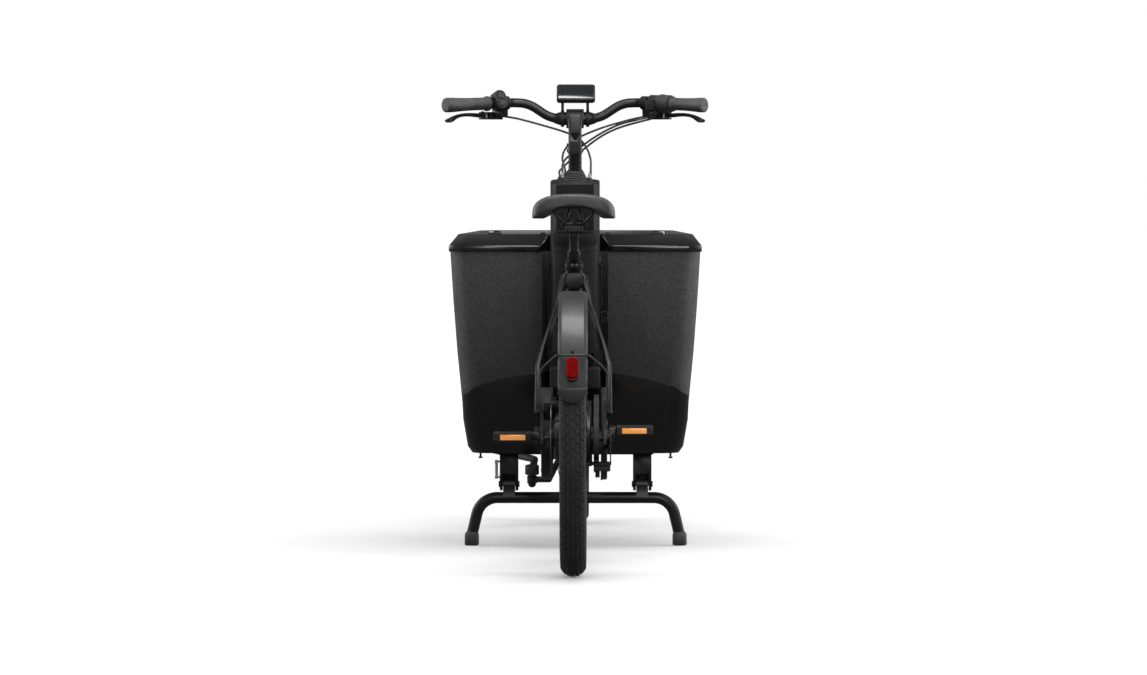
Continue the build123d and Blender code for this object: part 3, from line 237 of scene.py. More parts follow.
def leather(name, dark, light):
    """Grained and pored skin, worn in places."""
    mat, n, l, bsdf = new_material(name)
    at = coords(n, l)
    grain = cells(n, l, at, 520.0, "SMOOTH_F1")
    pore = noise(n, l, at, 1560.0, 2.0)
    worn = noise(n, l, at, 12.0, 5.0)
    l.new(ramp(n, l, worn, [(0.3, dark), (0.75, light)]), bsdf.inputs["Base Color"])
    l.new(spread(n, l, worn, 0.42, 0.60), bsdf.inputs["Roughness"])
    first = bump(n, l, bsdf, grain, 0.00030, 0.45)
    bump(n, l, bsdf, pore, 0.00008, 0.3, first)
    return mat


def weave(name, dark, light, thread=0.0011):
    """Plain woven cloth: two crossing sets of threads, seen from any side."""
    mat, n, l, bsdf = new_material(name)
    where = coords(n, l)
    split = n.new("ShaderNodeSeparateXYZ")
    l.new(where, split.inputs["Vector"])
    turns = 2 * math.pi / (2 * thread)
    depth_way = combine(n, l, "ADD", split.outputs["Y"], split.outputs["Z"])
    across = combine(n, l, "SINE", combine(n, l, "MULTIPLY", split.outputs["X"], turns), 0)
    along = combine(n, l, "SINE", combine(n, l, "MULTIPLY", depth_way, turns), 0)
    height = combine(n, l, "MULTIPLY", across, along)
    patch = noise(n, l, where, 60.0, 6.0)
    mixed = combine(n, l, "ADD", combine(n, l, "MULTIPLY", height, 0.22), patch)
    l.new(ramp(n, l, mixed, [(0.25, dark), (0.75, light)]), bsdf.inputs["Base Color"])
    bsdf.inputs["Roughness"].default_value = 0.88
    bsdf.inputs["Sheen Weight"].default_value = 0.35
    bsdf.inputs["Sheen Roughness"].default_value = 0.5
    bump(n, l, bsdf, height, 0.00025, 0.6)
    return mat


def grip_rubber():
    """Soft grip rubber with a fine honeycomb."""
    mat, n, l, bsdf = new_material("grip_rubber")
    at = coords(n, l)
    comb = cells(n, l, at, 330.0, "DISTANCE_TO_EDGE")
    worn = noise(n, l, at, 18.0, 5.0)
    l.new(ramp(n, l, worn, [(0.3, (0.030, 0.030, 0.031)), (0.75, (0.048, 0.048, 0.050))]),
          bsdf.inputs["Base Color"])
    l.new(spread(n, l, worn, 0.52, 0.70), bsdf.inputs["Roughness"])
    ridge = ramp(n, l, comb, [(0.0, (0, 0, 0)), (0.16, (1, 1, 1))])
    bump(n, l, bsdf, ridge, 0.0004, 0.7)
    return mat


def brushed(name, dark, light, rough, stretch):
    """Bare metal with fine lines across the stretched axis."""
    mat, n, l, bsdf = new_material(name)
    lines = noise(n, l, coords(n, l, stretch), 60.0, 6.0, 0.65)
    stain = noise(n, l, coords(n, l), 20.0, 5.0)
    l.new(ramp(n, l, combine(n, l, "ADD", combine(n, l, "MULTIPLY", lines, 0.6),
                             combine(n, l, "MULTIPLY", stain, 0.4)),
               [(0.3, dark), (0.7, light)]), bsdf.inputs["Base Color"])
    bsdf.inputs["Metallic"].default_value = 1.0
    l.new(spread(n, l, lines, rough * 0.75, rough * 1.3), bsdf.inputs["Roughness"])
    bump(n, l, bsdf, lines, 0.00003, 0.4)
    return mat


def lens(name, dark, light, glow, pitch=0.0035, gloss=0.8):
    """Moulded lens with fine prisms behind its face, glowing by glow in its lighter colour."""
    mat, n, l, bsdf = new_material(name)
    at = coords(n, l)
    prism = cells(n, l, at, 1.0 / pitch, "F1")
    cloud = noise(n, l, at, 40.0, 3.0)
    l.new(ramp(n, l, combine(n, l, "ADD", combine(n, l, "MULTIPLY", prism, 0.7),
                             combine(n, l, "MULTIPLY", cloud, 0.3)),
               [(0.2, light), (0.65, dark)]), bsdf.inputs["Base Color"])
    bsdf.inputs["Roughness"].default_value = 0.16 + 0.3 * (0.8 - gloss)
    bsdf.inputs["Specular IOR Level"].default_value = gloss * 0.6
    bsdf.inputs["Coat Weight"].default_value = gloss
    bsdf.inputs["Coat Roughness"].default_value = 0.04
    bsdf.inputs["Emission Color"].default_value = (*light, 1.0)
    bsdf.inputs["Emission Strength"].default_value = glow
    bump(n, l, bsdf, prism, 0.0003, 0.35)
    return mat


# ---------------------------------------------------------------- materials
POWDER = coated("powder_coat", (0.006, 0.006, 0.0065), (0.011, 0.011, 0.0115), 0.42, grain=900.0,
                depth=0.00006, coat=0.05, mirror=0.28)
SATIN_STEEL = coated("satin_black_steel", (0.007, 0.007, 0.0075), (0.014, 0.014, 0.015), 0.36,
                     grain=1100.0, depth=0.00005, mirror=0.35)
ANODISED = coated("black_anodised", (0.016, 0.016, 0.017), (0.028, 0.028, 0.030), 0.34, metal=0.60,
                  grain=1500.0, depth=0.00002)
FORGED = coated("forged_black", (0.009, 0.009, 0.0095), (0.018, 0.018, 0.019), 0.42, metal=0.3,
                grain=1300.0, depth=0.00004)
STEM_GREY = coated("stem_grey", (0.034, 0.0345, 0.036), (0.050, 0.0505, 0.052), 0.36, metal=0.4,
                   grain=1300.0, depth=0.00003)
GUARD_GREY = coated("guard_grey", (0.028, 0.0283, 0.029), (0.038, 0.0384, 0.039), 0.44, metal=0.45,
                    grain=700.0, depth=0.00004, coat=0.1, blotch=7.0)
MOULDED = coated("moulded_plastic", (0.011, 0.011, 0.0115), (0.019, 0.019, 0.020), 0.50,
                 grain=1800.0, depth=0.00009, mirror=0.28)
HOUSING = coated("housing_plastic", (0.008, 0.008, 0.0085), (0.013, 0.013, 0.0135), 0.48,
                 grain=1500.0, depth=0.00007, blotch=6.0, mirror=0.18)
TRAY = coated("tray_plastic", (0.0022, 0.0022, 0.0024), (0.0038, 0.0038, 0.0041), 0.24, grain=1200.0,
              depth=0.00002, blotch=5.0, mirror=0.5)
RIM_GLOSS = coated("rim_gloss", (0.002, 0.002, 0.0022), (0.004, 0.004, 0.0043), 0.20, grain=240.0,
                   depth=0.000006, coat=0.35, blotch=5.0, mirror=0.5)
SOFT_RUBBER = coated("soft_rubber", (0.014, 0.014, 0.015), (0.028, 0.028, 0.029), 0.70,
                     grain=1600.0, depth=0.0001)
GRIP_RUBBER = grip_rubber()
BOOT_RUBBER = coated("boot_rubber", (0.024, 0.024, 0.025), (0.038, 0.038, 0.040), 0.55, grain=1600.0)
HOSE = coated("hose_jacket", (0.016, 0.016, 0.017), (0.030, 0.030, 0.032), 0.38, grain=2000.0,
              depth=0.00003)
SCREEN = coated("display_glass", (0.004, 0.0045, 0.005), (0.008, 0.009, 0.010), 0.09, grain=90.0,
                depth=0.00001, coat=0.9)
TYRE = tyre_rubber()
FOAM = bead_foam()
SADDLE = leather("saddle_skin", (0.028, 0.028, 0.029), (0.052, 0.052, 0.053))
CLOTH = weave("bench_cloth", (0.030, 0.031, 0.034), (0.060, 0.062, 0.068))
WEBBING = weave("belt_webbing", (0.012, 0.012, 0.013), (0.028, 0.028, 0.030), 0.0008)
# Darker than bare steel: painted shade, for the dark look of the discs seen edge on from behind.
SHADE_DARKENED_STEEL = brushed("shade_darkened_brushed_steel", (0.10, 0.10, 0.104), (0.20, 0.20, 0.204), 0.46, (1, 1, 14))
SPRING_STEEL = brushed("spring_steel", (0.22, 0.22, 0.23), (0.42, 0.42, 0.43), 0.32, (9, 1, 1))
LINK_ALLOY = coated("link_alloy", (0.030, 0.030, 0.031), (0.050, 0.050, 0.052), 0.40, metal=0.5,
                    grain=900.0, depth=0.00004)
RED_LENS = lens("red_lens", (0.060, 0.0, 0.0), (0.10, 0.0, 0.0), 0.80, 0.0012, 0.06)
# The pedal reflectors are no lamps: their glow is painted light.
AMBER_PAINTED_GLOW = lens("amber_reflector", (0.60, 0.20, 0.030), (0.86, 0.36, 0.09), 0.42, 0.0028)
CLEAR_LENS = lens("clear_lens", (0.45, 0.46, 0.48), (0.85, 0.86, 0.88), 0.02)
PALE_GUIDE = coated("pale_guide", (0.30, 0.30, 0.30), (0.42, 0.42, 0.42), 0.45, grain=1500.0)

NODE_MATERIAL = {
    "main_frame": POWDER, "rear_stays": POWDER, "headset_bearings": SHADE_DARKENED_STEEL,
    "drive_unit": MOULDED, "seat_clamp": ANODISED, "rear_fender": GUARD_GREY,
    "rear_light": RED_LENS, "rear_caliper": FORGED, "belt_guard": MOULDED,
    "drive_belt": SOFT_RUBBER, "column_housing": HOUSING, "box_shell": FOAM,
    "box_tray": TRAY, "box_rim": RIM_GLOSS, "bench_cushion": CLOTH,
    "stand_brackets": SATIN_STEEL, "stand_spring": SPRING_STEEL, "fixings": SATIN_STEEL,
    "headlight": MOULDED, "battery_pack": HOUSING, "seat_post": ANODISED,
    "saddle_rails": SATIN_STEEL, "saddle": SADDLE, "steering_column": ANODISED,
    "column_cap": SOFT_RUBBER, "stem": STEM_GREY, "handlebar": ANODISED, "grips": SOFT_RUBBER,
    "lever_clamps": FORGED, "shifter_housing": MOULDED, "display": MOULDED,
    "remote": MOULDED, "hoses": HOSE, "pitman_arm": SATIN_STEEL,
    "left_brake_lever": FORGED, "right_brake_lever": FORGED, "twist_grip": SOFT_RUBBER,
    "remote_key_up": SOFT_RUBBER, "remote_key_down": SOFT_RUBBER, "drag_link": LINK_ALLOY,
    "fork": POWDER, "front_caliper": FORGED, "front_fender": GUARD_GREY, "front_tyre": TYRE,
    "front_rim": ANODISED, "front_spokes": SATIN_STEEL, "front_hub": ANODISED,
    "front_rotor": SHADE_DARKENED_STEEL, "rear_tyre": TYRE, "rear_rim": ANODISED,
    "rear_spokes": SATIN_STEEL, "rear_hub": POWDER, "rear_rotor": SHADE_DARKENED_STEEL,
    "rear_sprocket": SATIN_STEEL, "cranks": FORGED, "belt_ring": FORGED,
    "left_pedal": MOULDED, "right_pedal": MOULDED, "stand_tube": SATIN_STEEL,
    "stand_feet": SOFT_RUBBER,
}
for node_name, finish in NODE_MATERIAL.items():
    mesh = nodes[node_name].data
    mesh.materials.clear()
    mesh.materials.append(finish)


# ---------------------------------------------------------------- piece helpers
def in_scene(name, data):
    """New object in the scene."""
    obj = bpy.data.objects.new(name, data)
    bpy.context.scene.collection.objects.link(obj)
    return obj


def piece(name, mesh, body, material, stands_for=()):
    """New visible object that rides on a CAD body."""
    obj = in_scene(name, mesh)
    obj.data.materials.clear()
    obj.data.materials.append(material)
    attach(obj, body)
    if stands_for:
        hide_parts(*stands_for)
    return obj


def mesh_from(name, points, faces, smooth=True):
    """Mesh from points and faces, shaded smooth or flat."""
    mesh = bpy.data.meshes.new(name)
    mesh.from_pydata([tuple(p) for p in points], [], faces)
    mesh.validate()
    if smooth:
        mesh.shade_smooth()
    return mesh


def apply_modifiers(obj):
    """Replaces the object's mesh by its evaluated one."""
    bpy.context.view_layer.update()
    graph = bpy.context.evaluated_depsgraph_get()
    done = bpy.data.meshes.new_from_object(obj.evaluated_get(graph), depsgraph=graph)
    obj.modifiers.clear()
    obj.data = done


def grid_mesh(name, rows, closed_rows=False):
    """Skin over a list of rings of points, with both ends capped unless the last ring meets the first."""
    ring = len(rows[0])
    points = [p for row in rows for p in row]
    faces = []
    for i in range(len(rows) if closed_rows else len(rows) - 1):
        nxt = (i + 1) % len(rows)
        for j in range(ring):
            k = (j + 1) % ring
            faces.append((i * ring + j, i * ring + k, nxt * ring + k, nxt * ring + j))
    if not closed_rows:
        faces.append(tuple(reversed(range(ring))))
        faces.append(tuple(range((len(rows) - 1) * ring, len(rows) * ring)))
    return mesh_from(name, points, faces)


def sharpen(mesh, degrees=35.0):
    """Smooth shading with creases kept at edges sharper than an angle."""
    bm = bmesh.new()
    bm.from_mesh(mesh)
    limit = math.radians(degrees)
    for edge in bm.edges:
        edge.smooth = len(edge.link_faces) == 2 and edge.calc_face_angle(0.0) < limit
    for face in bm.faces:
        face.smooth = True
    bm.to_mesh(mesh)
    bm.free()


BEVEL_FROM = math.radians(38.0)


def refined(node, width, segments=2, materials=None, chooser=None, crisp=42.0):
    """Copy of a CAD node with softened edges that stands for it; chooser gives each face a finish."""
    source = nodes[node]
    mesh = source.data.copy()
    mesh.name = "soft_" + node
    bm = bmesh.new()
    bm.from_mesh(mesh)
    bmesh.ops.remove_doubles(bm, verts=bm.verts, dist=0.00001)
    bmesh.ops.dissolve_limit(bm, angle_limit=math.radians(0.6), verts=bm.verts, edges=bm.edges)
    bm.normal_update()
    bm.to_mesh(mesh)
    bm.free()
    if "custom_normal" in mesh.attributes:
        mesh.attributes.remove(mesh.attributes["custom_normal"])
    finishes = materials or [NODE_MATERIAL[node]]
    obj = piece("look_" + node, mesh, source["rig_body"], finishes[0], [node])
    for extra in finishes[1:]:
        obj.data.materials.append(extra)
    if width:
        bevel = obj.modifiers.new("soft_edges", "BEVEL")
        bevel.width = width
        bevel.segments = segments
        bevel.limit_method = "ANGLE"
        bevel.angle_limit = BEVEL_FROM
        bevel.use_clamp_overlap = True
        bevel.harden_normals = False
        apply_modifiers(obj)
    sharpen(obj.data, crisp)
    if chooser:
        for face in obj.data.polygons:
            corners = [obj.data.vertices[i].co for i in face.vertices]
            face.material_index = chooser(corners)
    return obj


# ---------------------------------------------------------------- CAD nodes with softened edges
SOFTENED = {
    "main_frame": 0.0015, "rear_stays": 0.0012, "drive_unit": 0.004, "seat_clamp": 0.0006,
    "rear_caliper": 0.0008, "belt_guard": 0.0008, "column_housing": 0.0015, "box_shell": 0.003,
    "box_tray": 0.002, "box_rim": 0.003, "stand_brackets": 0.0012, "rear_fender": 0.0009,
    "front_fender": 0.0009, "battery_pack": 0.002, "seat_post": 0.0008, "stem": 0.0015,
    "lever_clamps": 0.001, "shifter_housing": 0.002, "display": 0.0015, "remote": 0.0015,
    "pitman_arm": 0.001, "left_brake_lever": 0.0015, "right_brake_lever": 0.0015,
    "twist_grip": 0.001, "fork": 0.0015, "front_caliper": 0.0008, "cranks": 0.002,
    "belt_ring": 0.0004, "column_cap": 0.0008, "drag_link": 0.001,
}
CLUSTER_Y, CLUSTER_LOW, CLUSTER_HIGH = 0.324 - ORIGIN_Y, 0.6455, 0.6815
CLUSTER_HALF_X, CLUSTER_HALF_Y = 0.0305, 0.0236


def taper_cluster(mesh):
    """Narrows the lug at the top of the seat tube, most at its lower end."""
    for v in mesh.vertices:
        x, y, z = v.co
        inside = abs(x) < CLUSTER_HALF_X and abs(y - CLUSTER_Y) < CLUSTER_HALF_Y
        if inside and CLUSTER_LOW < z < CLUSTER_HIGH:
            v.co.x *= 0.80 + 0.12 * (z - CLUSTER_LOW) / (CLUSTER_HIGH - CLUSTER_LOW)


for node_name, radius in SOFTENED.items():
    softened = refined(node_name, radius, crisp=24.0 if node_name == "rear_stays" else 42.0)
    if node_name == "rear_stays":
        taper_cluster(softened.data)
for node_name in ("hoses", "handlebar", "stand_tube", "steering_column"):
    refined(node_name, 0.0)


LAMP_TILT = math.radians(29.4)
LAMP_OUT = Vector((0, -math.cos(LAMP_TILT), math.sin(LAMP_TILT)))
LAMP_AT = REAR_AXLE + LAMP_OUT * FENDER_R
RED_FROM = 0.0079
refined("rear_light", 0.0030, 4, materials=[MOULDED, RED_LENS],
        chooser=lambda corners: int(min((c - LAMP_AT).dot(LAMP_OUT) for c in corners) > RED_FROM))
HEADLIGHT_Z, HEADLIGHT_REACH = 0.655, 0.0922
CLEAR_FROM = FRONT_Y - (HEADLIGHT_Z - FRONT_R) * math.tan(TILT) + HEADLIGHT_REACH
refined("headlight", 0.0016, materials=[MOULDED, CLEAR_LENS],
        chooser=lambda corners: int(min(c.y for c in corners) > CLEAR_FROM))


# ---------------------------------------------------------------- tyres with tread
def tread_blocks(centre, radius, body, node, count, name):
    """Tyre carcass with rows of hexagonal blocks, shoulder ribs and a sidewall."""
    mid, wide, tall = radius - 0.031, 0.0298, 0.0284

    def surface(turn, lean, lift):
        """Point on the carcass, so far round the wheel and across the tyre, lifted off it."""
        x = (wide + lift) * math.sin(lean)
        r = mid + (tall + lift) * math.cos(lean)
        return centre + Vector((x, r * math.cos(turn), r * math.sin(turn)))

    steps = 240
    outer = [math.radians(a) for a in range(-128, 129, 8)]
    inner = [math.radians(a) for a in range(124, -125, -16)]
    rows = []
    for i in range(steps):
        turn = 2 * math.pi * i / steps
        ring = [surface(turn, a, 0.0) for a in outer]
        ring += [surface(turn, a, -0.0045) for a in inner]
        rows.append(ring)
    carcass = grid_mesh(name + "_carcass", rows, closed_rows=True)
    piece(name, carcass, body, TYRE, [node])

    points, faces = [], []
    block_step = 2 * math.pi / count

    def block(turn, lean, half_turn, half_lean, sides, lift, twist=0.0):
        """Adds one closed block with a chamfered top."""
        base = len(points)
        for level, shrink in ((-0.0008, 1.06), (lift - 0.0005, 0.94), (lift, 0.84)):
            for k in range(sides):
                a = 2 * math.pi * (k + 0.5) / sides + twist
                points.append(surface(turn + half_turn * math.cos(a) * shrink,
                                      lean + half_lean * math.sin(a) * shrink, level))
        for level in range(2):
            for k in range(sides):
                nxt = (k + 1) % sides
                a, b = base + level * sides, base + (level + 1) * sides
                faces.append((a + k, a + nxt, b + nxt, b + k))
        faces.append(tuple(base + 2 * sides + k for k in range(sides)))
        faces.append(tuple(base + k for k in reversed(range(sides))))

    for row in range(-2, 3):
        lean = math.radians(20.5 * row)
        shift = 0.5 * (row % 2)
        for i in range(count):
            block((i + shift) * block_step, lean, block_step * 0.46, math.radians(9.4), 6, 0.0024)
    for side in (-1, 1):
        for i in range(count * 2):
            long_rib = i % 2 == 0
            block(i * block_step / 2, side * math.radians(60 if long_rib else 57),
                  block_step * 0.17, math.radians(12 if long_rib else 8.5), 4, 0.0018, math.pi / 4)
    tread = mesh_from(name + "_tread", points, faces, smooth=False)
    piece(name + "_tread", tread, body, TYRE)


tread_blocks(REAR_AXLE, REAR_R, "rear_wheel", "rear_tyre", 92, "rear_tyre_skin")
tread_blocks(FRONT_AXLE, FRONT_R, "front_wheel", "front_tyre", 78, "front_tyre_skin")


# ---------------------------------------------------------------- swept and turned pieces
def smooth_path(points, steps):
    """Catmull-Rom curve through points, in so many steps from one to the next."""
    pts = [Vector(p) for p in points]
    last = len(pts) - 1
    path = []
    for i in range(last):
        p0, p1, p2, p3 = (pts[min(max(i + k, 0), last)] for k in (-1, 0, 1, 2))
        for k in range(steps):
            t = k / steps
            path.append(0.5 * (2 * p1 + (p2 - p0) * t + (2 * p0 - 5 * p1 + 4 * p2 - p3) * t * t
                               + (3 * p1 - p0 - 3 * p2 + p3) * t * t * t))
    path.append(pts[-1])
    return path


def swept(name, path, section, closed=False):
    """Skin of a section, a list of (across, up) offsets, carried along a path."""
    count = len(path)
    tangents = []
    for i in range(count):
        after = path[(i + 1) % count] if closed or i + 1 < count else path[i]
        before = path[i - 1] if closed or i > 0 else path[i]
        tangents.append((after - before).normalized())
    up = Vector((0, 0, 1))
    if abs(tangents[0].dot(up)) > 0.9:
        up = Vector((0, 1, 0))
    rows = []
    for point, tangent in zip(path, tangents):
        across = tangent.cross(up).normalized()
        up = across.cross(tangent).normalized()
        rows.append([point + across * a + up * b for a, b in section])
    return grid_mesh(name, rows, closed_rows=closed)


def round_section(radius, sides=14):
    """Circle of (across, up) offsets."""
    turns = [2 * math.pi * k / sides for k in range(sides)]
    return [(radius * math.cos(t), radius * math.sin(t)) for t in turns]


def turned(name, origin, axis, profile, sides=32):
    """Skin of revolution about an axis from (along, radius) points."""
    axis = Vector(axis).normalized()
    side = axis.orthogonal().normalized()
    other = axis.cross(side)
    rows = []
    for along, radius in profile:
        rows.append([Vector(origin) + axis * along
                     + (side * math.cos(2 * math.pi * k / sides)
                        + other * math.sin(2 * math.pi * k / sides)) * radius
                     for k in range(sides)])
    mesh = grid_mesh(name, rows)
    sharpen(mesh, 30.0)
    return mesh


def slab(name, centre, x_dir, y_dir, size, edge):
    """Block with rounded edges, laid along two directions."""
    x_dir, y_dir = Vector(x_dir).normalized(), Vector(y_dir).normalized()
    z_dir = x_dir.cross(y_dir)
    bm = bmesh.new()
    bmesh.ops.create_cube(bm, size=1.0)
    for v in bm.verts:
        v.co = Vector((v.co.x * size[0], v.co.y * size[1], v.co.z * size[2]))
    bmesh.ops.bevel(bm, geom=bm.edges[:], offset=edge, segments=3, affect="EDGES", profile=0.5)
    for v in bm.verts:
        v.co = Vector(centre) + x_dir * v.co.x + y_dir * v.co.y + z_dir * v.co.z
    mesh = bpy.data.meshes.new(name)
    bm.to_mesh(mesh)
    bm.free()
    sharpen(mesh, 40.0)
    return mesh


def joined(name, meshes, body, material, stands_for=()):
    """One piece from several meshes."""
    bm = bmesh.new()
    for mesh in meshes:
        bm.from_mesh(mesh)
        bpy.data.meshes.remove(mesh)
    whole = bpy.data.meshes.new(name)
    bm.to_mesh(whole)
    bm.free()
    return piece(name, whole, body, material, stands_for)


def bolt_head(centre, axis, radius, height=0.0032):
    """Socket screw head standing on centre."""
    socket = radius * 0.52
    return turned("bolt", centre, axis, [
        (-0.0005, radius), (height * 0.75, radius), (height, radius * 0.86), (height, socket),
        (height * 0.35, socket * 0.96), (height * 0.35, 0.00002)], 18)


# ---------------------------------------------------------------- saddle and its rails
# along, half width, top, wing tip
SADDLE_STATIONS = [
    (-0.1470, 0.052, 0.8590, 0.8370), (-0.1430, 0.076, 0.8625, 0.8230),
    (-0.1340, 0.090, 0.8648, 0.8115), (-0.1150, 0.0965, 0.8655, 0.8080),
    (-0.0950, 0.0950, 0.8645, 0.8080), (-0.0700, 0.084, 0.8615, 0.8110),
    (-0.0450, 0.067, 0.8575, 0.8180), (-0.0200, 0.051, 0.8545, 0.8230),
    (0.0100, 0.038, 0.8530, 0.8260), (0.0450, 0.030, 0.8535, 0.8280),
    (0.0800, 0.025, 0.8535, 0.8295), (0.1080, 0.021, 0.8510, 0.8305),
    (0.1220, 0.015, 0.8475, 0.8320), (0.1275, 0.006, 0.8430, 0.8360)]


def saddle_piece():
    """Padded top with drooping wings and a hollow underside."""
    rows = []
    count = 20
    for y, half, top, tip in SADDLE_STATIONS:
        lip = 0.026 if y < 0 else 0.016
        hollow = half * (0.70 if y < 0.02 else 0.55)
        roof = max(top - lip, tip + 0.001)
        ring = []
        for k in range(count + 1):
            a = math.pi * k / count
            c, upward = math.cos(a), math.sin(a)
            x = -half * math.copysign(abs(c) ** 0.80, c)
            z = tip + 0.002 + (top - tip - 0.002) * upward ** 0.62
            if -0.11 < y < 0.09:
                z -= math.exp(-(x / 0.010) ** 2) * 0.0045
            ring.append((x, SADDLE_CLAMP_Y + y, z))
        for share in (0.06, 0.30, 0.70, 0.94):
            ring.append((half + (hollow - half) * share, SADDLE_CLAMP_Y + y, tip))
        for k in range(count + 1):
            a = math.pi * k / count
            x = hollow * math.cos(a)
            z = tip + 0.001 + (roof - tip - 0.001) * math.sin(a) ** 0.8
            ring.append((x, SADDLE_CLAMP_Y + y, z))
        for share in (0.94, 0.70, 0.30, 0.06):
            ring.append((-half + (half - hollow) * share, SADDLE_CLAMP_Y + y, tip))
        rows.append(ring)
    obj = piece("saddle_skin", grid_mesh("saddle_skin", rows), "seat", SADDLE, ["saddle"])
    sub = obj.modifiers.new("smooth", "SUBSURF")
    sub.levels = sub.render_levels = 2
    apply_modifiers(obj)
    obj.data.shade_smooth()


def saddle_rails():
    """Two bent wires under the saddle, with a seat at each end of them."""
    y = SADDLE_CLAMP_Y
    meshes = []
    for side in (-1, 1):
        route = [(side * 0.052, y - 0.112, 0.834), (side * 0.040, y - 0.086, 0.815),
                 (side * 0.024, y - 0.050, 0.7985), (side * 0.022, y - 0.020, 0.797),
                 (side * 0.022, y + 0.045, 0.797), (side * 0.018, y + 0.075, 0.806),
                 (side * 0.010, y + 0.104, 0.834)]
        meshes.append(swept("rail", smooth_path(route, 8), round_section(0.0035)))
        meshes.append(slab("rail_seat", (side * 0.050, y - 0.113, 0.8335), X_WAY, Y_WAY,
                           (0.020, 0.018, 0.010), 0.002))
    meshes.append(slab("nose_seat", (0, y + 0.104, 0.834), X_WAY, Y_WAY,
                       (0.032, 0.018, 0.008), 0.002))
    joined("saddle_rail_pair", meshes, "seat", SATIN_STEEL, ["saddle_rails"])


saddle_piece()
saddle_rails()


# ---------------------------------------------------------------- controls
def grip_point(along, side, across=0.0, up=0.0):
    """Point near the grip line, so far outboard of the bar's sweep."""
    p = SWEEP_START + ALONG_GRIP * along + ACROSS_GRIP * across + Vector((0, 0, up))
    return Vector((side * p.x, p.y, p.z))


def winged_grip(side, start):
    """Rubber grip that thickens outwards into a palm rest towards the rider."""
    stations = [(0.0, 0.0165, 0.0165), (0.003, 0.0180, 0.0185), (0.009, 0.0180, 0.0185),
                (0.012, 0.0152, 0.0160), (0.030, 0.0150, 0.0172), (0.055, 0.0152, 0.0200),
                (0.080, 0.0160, 0.0245), (0.098, 0.0172, 0.0255), (0.110, 0.0176, 0.0230),
                (0.1165, 0.0174, 0.0205), (0.1185, 0.0160, 0.0185), (0.1190, 0.0100, 0.0120)]
    length = 0.190 - start
    rows = []
    count = 32
    for share, tall, deep in stations:
        along = start + share / 0.119 * length
        ring = []
        for k in range(count):
            a = 2 * math.pi * k / count
            back = max(0.0, -math.cos(a))
            reach = math.cos(a) * (0.0155 + (deep - 0.0155) * back)
            drop = -0.30 * (deep - 0.0155) * back
            ring.append(grip_point(along, side, reach, tall * math.sin(a) + drop))
        rows.append(ring)
    mesh = grid_mesh("grip", rows)
    for face in mesh.polygons:
        face.use_smooth = True
    return mesh


joined("winged_grips", [winged_grip(-1, 0.066), winged_grip(1, 0.095)], "steering", GRIP_RUBBER,
       ["grips"])

LEAN = math.radians(42)
FACE_OUT = Vector((0, -math.cos(LEAN), math.sin(LEAN)))
FACE_UP = Vector((0, math.sin(LEAN), math.cos(LEAN)))
SCREEN_AT = Vector((0.002, 0.826 - ORIGIN_Y, 1.096)) + FACE_OUT * 0.0131
piece("display_glass", slab("display_glass", SCREEN_AT, (1, 0, 0), FACE_UP,
                            (0.084, 0.041, 0.0012), 0.0005), "steering", SCREEN)


def bellows():
    """Ribbed rubber boot round the column on the rotating cap, and a cable guide each side of it."""
    profile = [(0.0, 0.0302)]
    for k in range(5):
        radius = 0.0305 - 0.0026 * k
        base = 0.0005 + 0.0052 * k
        profile += [(base, radius), (base + 0.0018, radius + 0.0010), (base + 0.0036, radius - 0.0014)]
    profile += [(0.0268, 0.0178), (0.0275, 0.0162)]
    foot = column_point(CAP_Z) + AXIS * 0.012
    boot = turned("column_boot", foot, AXIS, profile, 48)
    piece("column_boot", boot, "steering", SOFT_RUBBER)
    guides = []
    for x in (-0.030, 0.035):
        guides.append(turned("guide", column_point(CAP_Z, x) + AXIS * 0.020, AXIS,
                             [(0, 0.0052), (0.004, 0.0052), (0.0045, 0.0042), (0.012, 0.0034)], 20))
    joined("cable_guides", guides, "steering", PALE_GUIDE)


bellows()


